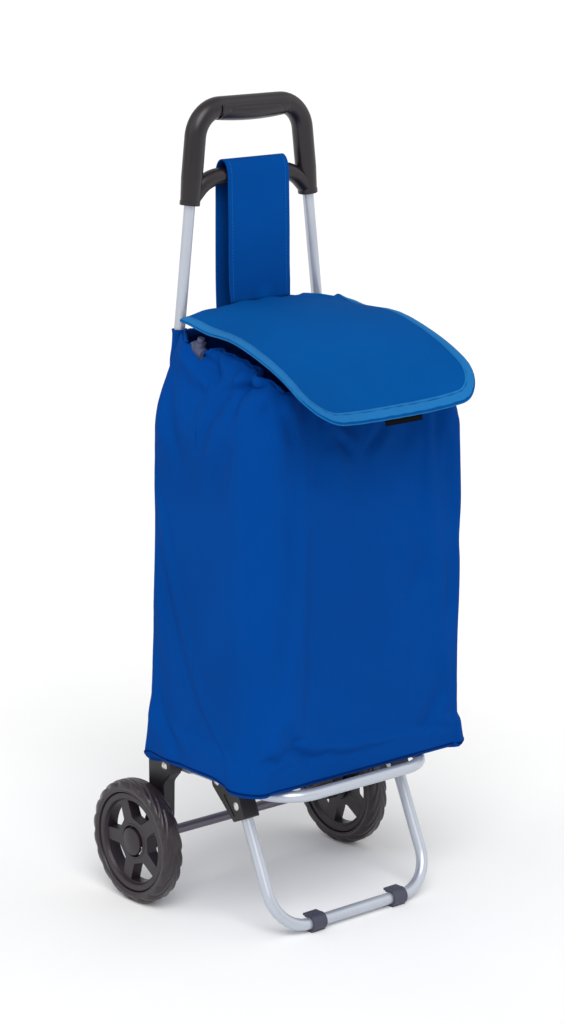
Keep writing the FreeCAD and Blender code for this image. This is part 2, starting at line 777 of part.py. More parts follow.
def make_handle_screw():
    centre = screw_point(screw_z)
    surface = grip_radius + slip_gap
    head = Part.makeCylinder(screw_head_radius, screw_head_height, centre + V(0, surface, 0), Y_AXIS)
    shank = Part.makeCylinder(screw_radius, surface, centre, Y_AXIS)
    return head.fuse(shank).removeSplitter()


# ---------------------------------------------------------------- bag

def bag_block(inset, top_extra):
    """The bag's full form, drawn in by an inset on every side: plan, front and side views."""
    half = bag_half_width - inset
    neck = bag_neck_half_width - inset
    back = bag_back_y - inset
    front = bag_front_y + inset
    low = bag_bottom_z + inset
    radius = bag_corner_radius - inset
    back_radius = bag_back_corner_radius - inset
    height = bag_neck_z + 60 - low
    plan_points = [V(-half, back, low), V(half, back, low), V(half, front, low), V(-half, front, low)]
    plan = prism(outline(plan_points, [back_radius, back_radius, radius, radius]), V(0, 0, height))
    slope = (half - neck) / (bag_neck_z - bag_shoulder_z)
    end_z = bag_neck_z + 50
    end_half = neck - slope * 50
    shoulder = bag_shoulder_radius
    front_points = [
        V(-half, back + 5, low), V(half, back + 5, low), V(half, back + 5, bag_shoulder_z),
        V(end_half, back + 5, end_z), V(-end_half, back + 5, end_z),
        V(-half, back + 5, bag_shoulder_z),
    ]
    front_view = prism(outline(front_points, [0, 0, shoulder, 0, 0, shoulder]), V(0, -bag_depth - 20, 0))
    tilt = math.tan(mouth_slope)
    side_points = [
        V(-half - 5, back + 1, low),
        V(-half - 5, back + 1, mouth_back_z + top_extra),
        V(-half - 5, front - 1, mouth_back_z + top_extra - tilt * (back - front + 2)),
        V(-half - 5, front - 1, low),
    ]
    side_view = prism(outline(side_points, [0, 0, 0, 0]), V(2 * half + 10, 0, 0))
    return plan.common(front_view).common(side_view)


def mouth_slab(depth_from, depth_to):
    """The space between two planes parallel to the mouth, measured down from its rim."""
    tilt = math.tan(mouth_slope)
    back = bag_back_y + 20
    front = bag_front_y - 20
    rim_back = mouth_back_z + tilt * 20
    rim_front = mouth_back_z - tilt * (bag_depth + 20)
    points = [
        V(-400, back, rim_back - depth_from), V(-400, front, rim_front - depth_from),
        V(-400, front, rim_front - depth_to), V(-400, back, rim_back - depth_to),
    ]
    return prism(outline(points, [0, 0, 0, 0]), V(800, 0, 0))


def mouth_half_width(distance):
    """Half the mouth's width on the rim, at a distance from its back edge."""
    z = mouth_back_z - math.sin(mouth_slope) * distance
    slope = (bag_half_width - bag_neck_half_width) / (bag_neck_z - bag_shoulder_z)
    return bag_neck_half_width + slope * (bag_neck_z - z)


def mouth_loop(inset, depth):
    """Corners of a loop that runs round the mouth, inside the hem."""
    length = bag_depth / math.cos(mouth_slope)
    start = V(0, bag_back_y, mouth_back_z) - mouth_up * depth
    near = start + mouth_dir * inset
    far = start + mouth_dir * (length - inset)
    near_half = mouth_half_width(inset) - inset + depth * 0.5
    far_half = mouth_half_width(length - inset) - inset + depth * 0.5
    return [near + V(-near_half, 0, 0), near + V(near_half, 0, 0),
            far + V(far_half, 0, 0), far + V(-far_half, 0, 0)]


def bag_shell():
    return bag_block(0, 0).cut(bag_block(bag_wall, 40))


def make_bag_panels():
    """The sewn panels: back, front, two sides and floor, which meet edge to edge."""
    shell = bag_shell().cut(mouth_slab(-1, hem_height))
    split_back = bag_back_y - bag_back_corner_radius
    split_front = bag_front_y + bag_corner_radius
    floor_z = bag_bottom_z + bag_wall
    big = 1000.0
    floor = Part.makeBox(big, big, 100, V(-big / 2, -big / 2, floor_z - 100))
    above = shell.cut(floor)
    back = Part.makeBox(big, big, big, V(-big / 2, split_back, 0))
    front = Part.makeBox(big, big, big, V(-big / 2, split_front - big, 0))
    sides = above.cut(back).cut(front)
    panels = {
        "bag_floor": shell.common(floor),
        "bag_back": above.common(back),
        "bag_front": above.common(front),
    }
    for solid in sides.Solids:
        side = "bag_side_left" if solid.BoundBox.Center.x < 0 else "bag_side_right"
        panels[side] = solid
    return panels


def lock_place():
    """Middle of the cord lock, on the left run of the drawcord."""
    corners = mouth_loop(hem_wall / 2, hem_height / 2)
    run = (corners[3] - corners[0]).normalize()
    return corners[0] + run * lock_distance, run


def cord_wire():
    """The drawcord's line: once round the mouth, from one end of the cord lock to the other."""
    corners = mouth_loop(hem_wall / 2, hem_height / 2)
    middle, run = lock_place()
    first = middle + run * (lock_length / 2 - 2)
    last = middle - run * (lock_length / 2 - 2)
    points = [first, corners[3], corners[2], corners[1], corners[0], last]
    radius = hem_corner_radius
    back_radius = hem_back_corner_radius
    return rounded_edges(points, [0, radius, radius, back_radius, back_radius, 0], False), first, run


def make_drawcord():
    path, first, run = cord_wire()
    return rod_along(path, cord_radius, first, run)


def make_mouth_hem():
    """The turned-over rim of the bag, with a tunnel for the drawcord."""
    solid = bag_block(0, 0).common(mouth_slab(-1, hem_height))
    ring = solid.cut(bag_block(hem_wall, 40))
    path, first, run = cord_wire()
    tunnel = rod_along(path, cord_radius + cord_tunnel_gap, first, run)
    middle, run = lock_place()
    room = Part.makeCylinder(lock_radius + side_gap, lock_length + 2 * side_gap,
                             middle - run * (lock_length / 2 + side_gap), run)
    gap = Part.makeBox(60, lock_length + 2 * side_gap, 60, V(-30, -lock_length / 2 - side_gap, -30))
    gap.rotate(ORIGIN, X_AXIS, math.degrees(mouth_slope))
    gap.translate(middle)
    return ring.cut(tunnel).cut(room).cut(gap)


def make_cord_lock():
    """A cord lock: a barrel round the cord with an upright bore for its button."""
    middle, run = lock_place()
    start = middle - run * (lock_length / 2)
    barrel = Part.makeCylinder(lock_radius, lock_length, start, run)
    housing = Part.makeCylinder(button_radius + button_wall, lock_radius + lock_rise, middle, mouth_up)
    body = barrel.fuse(housing).removeSplitter()
    ends = Part.makeCylinder(cord_radius + soft_gap, lock_length + 2, start - run, run)
    bore = Part.makeCylinder(button_radius + running_gap, 40, middle + mouth_up * button_floor(), mouth_up)
    return body.cut(ends).cut(bore)


def button_floor():
    return cord_radius + soft_gap + button_floor_wall


def make_lock_button():
    middle, run = lock_place()
    low = button_floor() + button_travel + end_gap
    top = lock_radius + lock_rise + button_proud
    return Part.makeCylinder(button_radius, top - low, middle + mouth_up * low, mouth_up)


def make_sleeve():
    """A cloth sleeve on the bag's back that slips over one upright."""
    path = upright_path()
    start = V(upright_x, frame_y, upright_bottom_z)
    outer = rod_along(path, upright_radius + soft_gap + sleeve_wall, start, Z_AXIS)
    inner = rod_along(path, upright_radius + soft_gap, start, Z_AXIS)
    band = Part.makeBox(400, 200, sleeve_top_z - sleeve_bottom_z, V(-50, -100, sleeve_bottom_z))
    in_front = Part.makeBox(400, 200, 2000, V(-50, bag_back_y - 200, 0))
    return outer.cut(inner).common(band).cut(in_front)


def make_base_piping():
    """A corded seam round the bag, just above its floor."""
    outset = base_piping_proud - base_piping_radius
    half = bag_half_width + outset
    back = bag_back_y - bag_back_corner_radius
    front = bag_front_y - outset
    z = bag_bottom_z + base_piping_rise
    radius = bag_corner_radius + outset
    points = [V(half, back, z), V(half, front, z), V(-half, front, z), V(-half, back, z)]
    path = rounded_edges(points, [0, radius, radius, 0], False)
    piping = rod_along(path, base_piping_radius, points[0], Y_AXIS)
    return piping.cut(bag_block(0, 0))


def make_loop_strip():
    """The soft half of the touch fastener, on the bag's front below the mouth."""
    top = mouth_front_z - hem_height - loop_strip_drop
    return Part.makeBox(loop_strip_length, loop_strip_thickness, loop_strip_height,
                        V(-loop_strip_length / 2, bag_front_y - loop_strip_thickness,
                          top - loop_strip_height))


# ---------------------------------------------------------------- strap

def make_strap():
    """A band over the handle's arch: front ply to the lid's seam, rear ply to the bag's back."""
    inner = arch_radius + strap_gap
    outer = inner + strap_thickness
    top = V(0, frame_y, arch_z)
    rear_y = bag_back_y + soft_gap
    plies = []
    for side, foot_y, foot_z in ((-1, strap_front_y, strap_front_z), (1, rear_y, mouth_back_z)):
        foot = V(0, foot_y, foot_z)
        span = top - foot
        distance = math.hypot(span.y, span.z)
        angle = math.atan2(span.z, span.y)
        swing = math.asin(inner / distance) if side < 0 else -math.asin(inner / distance)
        run = V(0, math.cos(angle + swing), math.sin(angle + swing))
        away = V(0, side * run.z, -side * run.y)
        touch = top + away * inner
        outer_foot = foot + away * strap_thickness
        outer_touch = top + away * outer
        plies.append((foot, touch, outer_foot, outer_touch))
    front, rear = plies
    crest_in = top + V(0, 0, inner)
    crest_out = top + V(0, 0, outer)
    rear_low = V(0, rear_y, strap_rear_z)
    rear_low_out = V(0, rear_y + strap_thickness, strap_rear_z)
    edges = [
        Part.LineSegment(front[0], front[1]).toShape(),
        Part.Arc(front[1], crest_in, rear[1]).toShape(),
        Part.LineSegment(rear[1], rear[0]).toShape(),
        Part.LineSegment(rear[0], rear_low).toShape(),
        Part.LineSegment(rear_low, rear_low_out).toShape(),
        Part.LineSegment(rear_low_out, rear[2]).toShape(),
        Part.LineSegment(rear[2], rear[3]).toShape(),
        Part.Arc(rear[3], crest_out, front[3]).toShape(),
        Part.LineSegment(front[3], front[2]).toShape(),
        Part.LineSegment(front[2], front[0]).toShape(),
    ]
    band = prism(Part.Wire(edges), V(strap_width, 0, 0))
    band.translate(V(-strap_width / 2, 0, 0))
    return band


# ---------------------------------------------------------------- lid

def lid_band(low, high):
    """A curved slab over the bag, between two heights measured from the lid's middle surface."""
    back = V(0, lid_hinge_y, lid_hinge_z)
    front = V(0, lid_front_y, lid_front_z)
    chord = front - back
    half = chord.Length / 2
    radius = (half ** 2 + lid_rise ** 2) / (2 * lid_rise)
    along = V(chord.x, chord.y, chord.z).normalize()
    up = V(0, along.z, -along.y)
    centre = (back + front) * 0.5 + up * (lid_rise - radius)
    outer = x_cylinder(radius + high, -200, 200, centre.y, centre.z)
    inner = x_cylinder(radius + low, -200, 200, centre.y, centre.z)
    return outer.cut(inner)


def lid_outline(inset, back_inset):
    """Plan view of the lid: wider at its rounded front."""
    back = lid_hinge_y - back_inset
    front = lid_front_y + inset
    corners = [
        V(-lid_back_half_width + inset, back, 500),
        V(lid_back_half_width - inset, back, 500),
        V(lid_front_half_width - inset, front, 500),
        V(-lid_front_half_width + inset, front, 500),
    ]
    radius = lid_corner_radius - inset
    return prism(outline(corners, [0, 0, radius, radius]), V(0, 0, 400))


def make_lid_panel():
    half = lid_thickness / 2
    return lid_band(-half, half).common(lid_outline(binding_wall, 0))


def make_lid_binding():
    """Tape folded over the lid's edge on both sides and the front."""
    half = lid_thickness / 2 + binding_wall
    ring = lid_band(-half, half).common(lid_outline(0, 0))
    middle = lid_outline(binding_width, -20)
    return ring.cut(middle).cut(make_lid_panel())


def make_hook_strip():
    """The hooked half of the touch fastener, under the lid's front edge."""
    below = lid_thickness / 2
    front = lid_front_y + hook_strip_inset
    room = Part.makeBox(loop_strip_length, loop_strip_height, 400,
                        V(-loop_strip_length / 2, front, 500))
    return lid_band(-below - loop_strip_thickness, -below).common(room)


# ---------------------------------------------------------------- write every piece

def build():
    os.makedirs("parts", exist_ok=True)
    both_sides("tyre", make_tyre())
    both_sides("rim", make_rim())
    both_sides("wheel_bush", make_bush())
    both_sides("hub_cap", make_hub_cap())
    place(make_axle(), "axle")
    place(pair(make_split_pin()), "split_pins")
    washers = make_washers()
    place(Part.makeCompound(washers + [mirrored(w) for w in washers]), "wheel_washers")

    both_sides("upright", make_upright())
    both_sides("rear_bracket", make_rear_bracket())
    place(pair(make_bracket_screw()), "bracket_screws")
    place(pair(rivet_along_x(tab_outer_x - tab_thickness - rivet_gap, bracket_outer_x,
                             shelf_pivot_y, shelf_z)), "shelf_pivot_rivets")
    place(pair(make_pivot_washer()), "shelf_pivot_washers")

    place(make_shelf_tube(), "shelf_tube")
    place(pair(rivet_along_x(leg_plate_inner_x() - rivet_gap, leg_plate_outer_x() + rivet_gap,
                             leg_pivot_y, shelf_z)), "leg_pivot_rivets")

    place(make_leg_tube(), "leg_tube")
    both_sides("leg_bracket", make_leg_bracket())
    rivet = leg_point(leg_rivet_station, 0)
    place(pair(rivet_along_x(leg_plate_inner_x(), leg_plate_outer_x(), rivet.y, rivet.z)), "leg_rivets")
    both_sides("foot_clip", make_foot_clip())

    place(make_handle(), "handle")
    place(make_handle_pad(), "handle_pad")
    place(pair(make_handle_screw()), "handle_screws")

    for name, panel in make_bag_panels().items():
        place(panel, name)
    both_sides("bag_sleeve", make_sleeve())
    place(make_mouth_hem(), "mouth_hem")
    place(make_base_piping(), "base_piping")
    place(make_drawcord(), "drawcord")
    place(make_cord_lock(), "cord_lock")
    place(make_lock_button(), "cord_lock_button")
    place(make_loop_strip(), "loop_strip")
    place(make_strap(), "strap")
    place(make_lid_panel(), "lid_panel")
    place(make_lid_binding(), "lid_binding")
    place(make_hook_strip(), "hook_strip")


build()
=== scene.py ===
import math

import bmesh
import bpy
import numpy as np
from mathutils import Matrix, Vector


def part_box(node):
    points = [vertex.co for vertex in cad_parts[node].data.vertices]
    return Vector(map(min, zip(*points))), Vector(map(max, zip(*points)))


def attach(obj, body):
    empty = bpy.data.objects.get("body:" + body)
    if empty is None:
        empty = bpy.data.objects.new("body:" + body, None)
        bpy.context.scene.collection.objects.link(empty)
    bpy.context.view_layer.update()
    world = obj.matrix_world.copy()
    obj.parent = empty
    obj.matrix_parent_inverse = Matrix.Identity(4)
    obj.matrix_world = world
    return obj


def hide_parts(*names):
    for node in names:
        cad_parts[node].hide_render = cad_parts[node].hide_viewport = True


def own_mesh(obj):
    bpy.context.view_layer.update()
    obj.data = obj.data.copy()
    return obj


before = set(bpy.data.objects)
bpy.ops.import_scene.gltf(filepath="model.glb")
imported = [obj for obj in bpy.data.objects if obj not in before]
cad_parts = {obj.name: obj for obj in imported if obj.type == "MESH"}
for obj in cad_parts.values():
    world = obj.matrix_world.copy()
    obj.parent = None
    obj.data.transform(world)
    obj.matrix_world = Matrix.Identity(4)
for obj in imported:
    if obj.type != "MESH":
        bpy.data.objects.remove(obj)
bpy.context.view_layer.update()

# Folding shopping trolley. Shapes are worked out in millimetres with Y measured from the
# wheel axle, the front facing -Y, and go to the row frame in to_frame().

axle_low, axle_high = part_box("axle")
AXLE_Y = (axle_low.y + axle_high.y) / 2


def to_frame(points):
    """Millimetres from the axle to metres in the row frame."""
    return np.asarray(points, float) / 1000 + np.array([0, AXLE_Y, 0])


def node_box(name):
    """A CAD node's lowest and highest corner, in millimetres from the axle."""
    low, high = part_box(name)
    shift = np.array([0, AXLE_Y, 0])
    return (np.array(low) - shift) * 1000, (np.array(high) - shift) * 1000


def smooth(x, low, high):
    """0 below low, 1 above high, and a smooth rise between."""
    t = np.clip((np.asarray(x, float) - low) / (high - low), 0, 1)
    return t * t * (3 - 2 * t)


def bump(x, width):
    return np.exp(-(np.asarray(x, float) / width) ** 2)


def unit(vectors):
    return vectors / np.linalg.norm(vectors, axis=-1, keepdims=True)


def eased(ring, times):
    """Values round a closed ring, each averaged with its neighbours."""
    for _ in range(times):
        ring = (np.roll(ring, 1) + 2 * ring + np.roll(ring, -1)) / 4
    return ring


# ---------------------------------------------------------------- materials

CLOTH_ROUGHNESS = 0.88
CLOTH_SPECULAR = 0.04
PLASTIC_GRAIN_SCALE = 900.0


def srgb(red, green, blue):
    """A colour given as on a screen, 0 to 255, as the linear values the shader takes."""
    out = []
    for value in (red, green, blue):
        c = value / 255
        out.append(c / 12.92 if c <= 0.04045 else ((c + 0.055) / 1.055) ** 2.4)
    return (*out, 1.0)


def set_inputs(node, values):
    for name, value in values.items():
        node.inputs[name].default_value = value


def new_material(name):
    """A material, its nodes and links, its shader and its texture coordinates."""
    material = bpy.data.materials.new(name)
    material.use_nodes = True
    nodes = material.node_tree.nodes
    coords = nodes.new("ShaderNodeTexCoord")
    return material, nodes, material.node_tree.links, nodes["Principled BSDF"], coords.outputs


def noise_node(nodes, links, scale, detail, source, roughness=0.5):
    node = nodes.new("ShaderNodeTexNoise")
    set_inputs(node, {"Scale": scale, "Detail": detail, "Roughness": roughness})
    links.new(source, node.inputs["Vector"])
    return node.outputs["Fac"]


def ramp_node(nodes, links, source, low, high):
    """A colour ramp between two stops, each a position and a colour."""
    node = nodes.new("ShaderNodeValToRGB")
    for element, (position, colour) in zip(node.color_ramp.elements, (low, high)):
        element.position, element.color = position, colour
    links.new(source, node.inputs["Fac"])
    return node.outputs["Color"]


def multiply_node(nodes, links, first, second):
    """Two colours multiplied."""
    node = nodes.new("ShaderNodeMix")
    node.data_type = "RGBA"
    node.blend_type = "MULTIPLY"
    set_inputs(node, {"Factor": 1.0})
    for socket, source in zip([s for s in node.inputs if s.type == "RGBA"], (first, second)):
        links.new(source, socket)
    return [s for s in node.outputs if s.type == "RGBA"][0]


def bump_node(nodes, links, height, strength, distance, normal=None):
    node = nodes.new("ShaderNodeBump")
    set_inputs(node, {"Strength": strength, "Distance": distance})
    links.new(height, node.inputs["Height"])
    if normal is not None:
        links.new(normal, node.inputs["Normal"])
    return node.outputs["Normal"]


def scaled(colour, factor):
    return (*(c * factor for c in colour[:3]), 1.0)


def cloth_material(name, colour, thread=0.0007, sheen=0.0, weave=0.5):
    """Plain-woven cloth: threads along both UV directions, a grain and slow colour change."""
    material, nodes, links, shader, coords = new_material(name)
    slow = noise_node(nodes, links, 7.0, 3.0, coords["Object"])
    grain = noise_node(nodes, links, 1500.0, 2.0, coords["Object"], 0.7)
    tone = ramp_node(nodes, links, slow, (0.3, scaled(colour, 0.93)), (0.7, scaled(colour, 1.07)))
    fleck = ramp_node(nodes, links, grain,
                      (0.25, (0.86, 0.87, 0.9, 1)), (0.75, (1.12, 1.1, 1.08, 1)))
    links.new(multiply_node(nodes, links, tone, fleck), shader.inputs["Base Color"])
    bands = []
    for direction in ("X", "Y"):
        wave = nodes.new("ShaderNodeTexWave")
        wave.bands_direction = direction
        set_inputs(wave, {"Scale": math.pi / 10 / thread, "Distortion": 0.6, "Detail": 1.0})
        links.new(coords["UV"], wave.inputs["Vector"])
        bands.append(wave.outputs["Fac"])
    weave_height = nodes.new("ShaderNodeMath")
    weave_height.operation = "MAXIMUM"
    links.new(bands[0], weave_height.inputs[0])
    links.new(bands[1], weave_height.inputs[1])
    fine = bump_node(nodes, links, weave_height.outputs["Value"], weave, 0.00015)
    pucker = noise_node(nodes, links, 160.0, 2.0, coords["Object"])
    links.new(bump_node(nodes, links, pucker, 0.12, 0.0015, fine), shader.inputs["Normal"])
    set_inputs(shader, {"Roughness": CLOTH_ROUGHNESS, "Sheen Weight": sheen,
                        "Sheen Roughness": 0.45, "Specular IOR Level": CLOTH_SPECULAR})
    return material


def spread_roughness(nodes, links, source, shader, low, high):
    """Roughness that goes from low to high with a noise."""
    spread = nodes.new("ShaderNodeMapRange")
    set_inputs(spread, {"To Min": low, "To Max": high})
    links.new(source, spread.inputs["Value"])
    links.new(spread.outputs["Result"], shader.inputs["Roughness"])


def plastic_material(name, colour, roughness, grain=0.15):
    """Moulded plastic or rubber: a fine grain, faint cloudiness and slightly uneven gloss."""
    material, nodes, links, shader, coords = new_material(name)
    cloud = noise_node(nodes, links, 22.0, 4.0, coords["Object"])
    tone = ramp_node(nodes, links, cloud, (0.3, scaled(colour, 0.86)), (0.72, scaled(colour, 1.12)))
    links.new(tone, shader.inputs["Base Color"])
    gloss = noise_node(nodes, links, 60.0, 3.0, coords["Object"])
    spread_roughness(nodes, links, gloss, shader, roughness - 0.05, roughness + 0.07)
    fine = noise_node(nodes, links, PLASTIC_GRAIN_SCALE, 2.0, coords["Object"])
    links.new(bump_node(nodes, links, fine, grain, 0.0002), shader.inputs["Normal"])
    return material


def metal_material(name, colour, roughness, metallic, stretch=(1, 1, 1)):
    """Metal or silver paint with faint drawn lines and a faint cloudiness."""
    material, nodes, links, shader, coords = new_material(name)
    mapping = nodes.new("ShaderNodeMapping")
    set_inputs(mapping, {"Scale": stretch})
    links.new(coords["Object"], mapping.inputs["Vector"])
    lines = noise_node(nodes, links, 240.0, 3.0, mapping.outputs["Vector"])
    cloud = noise_node(nodes, links, 14.0, 3.0, coords["Object"])
    tone = ramp_node(nodes, links, cloud, (0.3, scaled(colour, 0.95)), (0.7, scaled(colour, 1.04)))
    links.new(tone, shader.inputs["Base Color"])
    spread_roughness(nodes, links, lines, shader, roughness - 0.06, roughness + 0.08)
    links.new(bump_node(nodes, links, lines, 0.06, 0.0002), shader.inputs["Normal"])
    set_inputs(shader, {"Metallic": metallic})
    return material


bag_cloth = cloth_material("bag_cloth", srgb(0, 62, 138))
strap_cloth = cloth_material("strap_cloth", srgb(0, 67, 141))
lid_cloth = cloth_material("lid_cloth", srgb(0, 75, 144), weave=0.7)
tape_cloth = cloth_material("binding_tape", srgb(26, 106, 167), thread=0.0012, weave=1.0,
                            sheen=0.05)
seam_cloth = cloth_material("seam_thread", srgb(0, 30, 92), thread=0.0004)
stitch_thread = cloth_material("stitch_thread", srgb(40, 108, 170), thread=0.0003)
touch_cloth = cloth_material("touch_tape", srgb(14, 14, 17), thread=0.0012, weave=1.0)
cord_cloth = cloth_material("cord", srgb(40, 56, 120), thread=0.001, weave=1.0)
lock_grey = plastic_material("lock_plastic", srgb(66, 70, 98), 0.42)
tyre_rubber = plastic_material("tyre", srgb(40, 32, 38), 0.3, grain=0.12)
rim_plastic = plastic_material("rim_plastic", srgb(36, 28, 36), 0.42, grain=0.25)
bracket_plastic = plastic_material("bracket_plastic", srgb(20, 15, 20), 0.4, grain=0.2)
foot_plastic = plastic_material("foot_plastic", srgb(58, 60, 78), 0.5, grain=0.3)
handle_plastic = plastic_material("handle_plastic", srgb(22, 13, 20), 0.32, grain=0.1)
grip_rubber = plastic_material("grip_rubber", srgb(112, 104, 112), 0.45, grain=0.3)
nylon = plastic_material("nylon", srgb(222, 220, 212), 0.45)
silver = metal_material("silver_tube", srgb(186, 192, 202), 0.34, 0.6, (1, 1, 0.1))
steel = metal_material("bare_steel", srgb(206, 204, 204), 0.28, 1.0)
axle_steel = metal_material("axle_steel", srgb(112, 108, 118), 0.45, 0.7, (0.1, 1, 1))

PAIR_MATERIALS = {
    "upright": silver, "rim": rim_plastic, "hub_cap": rim_plastic, "wheel_bush": nylon,
    "rear_bracket": bracket_plastic, "leg_bracket": bracket_plastic, "foot_clip": foot_plastic,
}
NODE_MATERIALS = {
    "shelf_tube": silver, "leg_tube": silver, "shelf_pivot_washers": nylon, "axle": axle_steel,
    "wheel_washers": steel, "split_pins": steel, "bracket_screws": steel, "handle_screws": steel,
    "leg_rivets": steel, "leg_pivot_rivets": steel, "shelf_pivot_rivets": steel,
    "handle": handle_plastic, "cord_lock": lock_grey, "cord_lock_button": lock_grey,
}
for pair_name, pair_material in PAIR_MATERIALS.items():
    for side in ("left", "right"):
        NODE_MATERIALS[f"{pair_name}_{side}"] = pair_material
for node_name, node_material in NODE_MATERIALS.items():
    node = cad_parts[node_name]
    if not node.material_slots:
        node.data.materials.append(node_material)
    for material_slot in node.material_slots:
        material_slot.link = "OBJECT"
        material_slot.material = node_material


# ---------------------------------------------------------------- meshes

def make_mesh(name, points, faces, material):
    """A smooth mesh object from millimetre points."""
    mesh = bpy.data.meshes.new(name)
    mesh.from_pydata(to_frame(points).tolist(), [], faces)
    mesh.polygons.foreach_set("use_smooth", [True] * len(mesh.polygons))
    mesh.materials.append(material)
    mesh.update()
    obj = bpy.data.objects.new(name, mesh)
    bpy.context.scene.collection.objects.link(obj)
    return obj


def grid_faces(rows, columns, closed_columns, closed_rows=False):
    faces = []
    for i in range(rows if closed_rows else rows - 1):
        for j in range(columns if closed_columns else columns - 1):
            k = (j + 1) % columns
            m = (i + 1) % rows
            faces.append((i * columns + j, i * columns + k, m * columns + k, m * columns + j))
    return faces


def grid_mesh(name, grid, material, closed_columns=False, closed_rows=False):
    """A mesh from a rows x columns array of points, with UVs in metres along both ways."""
    grid = np.asarray(grid, float)
    rows, columns = grid.shape[:2]
    faces = grid_faces(rows, columns, closed_columns, closed_rows)
    obj = make_mesh(name, grid.reshape(-1, 3), faces, material)
    across = np.linalg.norm(np.roll(grid, -1, axis=1) - grid, axis=2).mean(axis=0)
    along = np.linalg.norm(np.roll(grid, -1, axis=0) - grid, axis=2).mean(axis=1)
    u = np.concatenate([[0], np.cumsum(across)]) / 1000
    v = np.concatenate([[0], np.cumsum(along)]) / 1000
    coords = []
    for i in range(rows if closed_rows else rows - 1):
        for j in range(columns if closed_columns else columns - 1):
            coords += [u[j], v[i], u[j + 1], v[i], u[j + 1], v[i + 1], u[j], v[i + 1]]
    layer = obj.data.uv_layers.new(name="UVMap")
    layer.data.foreach_set("uv", coords)
    return obj


def frames_along(path, up):
    """Side and up directions at each point of a path, for a section that follows it."""
    ahead = unit(np.gradient(np.asarray(path, float), axis=0))
    side = unit(np.cross(ahead, up))
    return side, np.cross(side, ahead)


def sweep(name, path, section, up, material):
    """A closed section, given as (side, up) offsets, carried along a path."""
    path = np.asarray(path, float)
    side, top = frames_along(path, up)
    section = np.asarray(section, float)[None]
    grid = path[:, None] + side[:, None] * section[..., :1] + top[:, None] * section[..., 1:]
    obj = grid_mesh(name, grid, material, closed_columns=True)
    cap_ends(obj, *grid.shape[:2])
    return obj


def cap_ends(obj, rows, columns):
    """Close both ends of a swept tube."""
    bm = bmesh.new()
    bm.from_mesh(obj.data)
    bm.verts.ensure_lookup_table()
    bm.faces.new([bm.verts[j] for j in range(columns)][::-1])
    bm.faces.new([bm.verts[(rows - 1) * columns + j] for j in range(columns)])
    bmesh.ops.recalc_face_normals(bm, faces=bm.faces)
    bm.to_mesh(obj.data)
    bm.free()


def ring_section(half_side, half_up, count):
    angle = np.linspace(0, 2 * math.pi, count, endpoint=False)
    return np.stack([half_side * np.cos(angle), half_up * np.sin(angle)], axis=1)


def modify(obj, kind, **settings):
    modifier = obj.modifiers.new(kind.lower(), kind)
    for key, value in settings.items():
        setattr(modifier, key, value)
    return modifier


def settle(obj):
    """Make the modifiers' result the object's own mesh."""
    depsgraph = bpy.context.evaluated_depsgraph_get()
    mesh = bpy.data.meshes.new_from_object(obj.evaluated_get(depsgraph))
    obj.modifiers.clear()
    obj.data = mesh
    mesh.polygons.foreach_set("use_smooth", [True] * len(mesh.polygons))
    return obj


def ring_faces(base, rings, sides):
    """The faces of one small closed tube whose rings of points start at base."""
    faces = []
    for first in range(base, base + (rings - 1) * sides, sides):
        for k in range(sides):
            n = (k + 1) % sides
            faces.append((first + k, first + n, first + sides + n, first + sides + k))
    last = base + (rings - 1) * sides
    return faces + [tuple(range(base, base + sides))[::-1], tuple(range(last, last + sides))]


def thicken(obj, thickness, offset):
    modify(obj, "SOLIDIFY", thickness=thickness, offset=offset)
    return settle(obj)


def stitches(name, path, normals, pitch, length, radius, material):
    """A row of short rounded threads that lies along a path."""
    path = np.asarray(path, float)
    normals = np.asarray(normals, float)
    steps = np.linalg.norm(np.diff(path, axis=0), axis=1)
    at = np.concatenate([[0], np.cumsum(steps)])

    def sample(values, where):
        return np.stack([np.interp(where, at, values[:, k]) for k in range(3)], axis=-1)

    starts = np.arange(pitch / 2, at[-1] - length, pitch)
    points, faces = [], []
    for start in starts:
        first, last = sample(path, start), sample(path, start + length)
        up = unit(sample(normals, start + length / 2))
        side = np.cross(unit(last - first), up)
        base = len(points)
        for share, size in ((0, 0.35), (0.25, 1.0), (0.75, 1.0), (1, 0.35)):
            centre = first + (last - first) * share + up * radius * (size - 0.6)
            for angle in np.arange(6) * math.pi / 3:
                points.append(centre + (side * math.cos(angle) + up * math.sin(angle))
                              * radius * size)
        faces += ring_faces(base, 4, 6)
    return make_mesh(name, points, faces, material)


# ---------------------------------------------------------------- bag

bag_low = node_box("bag_floor")[0]
BAG_HALF = node_box("bag_side_right")[1][0]
BAG_BACK = node_box("bag_back")[1][1]
BAG_FRONT = node_box("bag_front")[0][1]
BAG_LOW = bag_low[2]
BACK_CORNER = 12.0
SHOULDER_Z = 600.0
MOUTH_BACK_Z = node_box("mouth_hem")[1][2]
MOUTH_SLOPE = 48.0 / 189.0
BELOW_RIM = 52.0             # where the front and the corners start to draw in
lock_low, lock_high = node_box("cord_lock")
lock_middle_y = (lock_low[1] + lock_high[1]) / 2


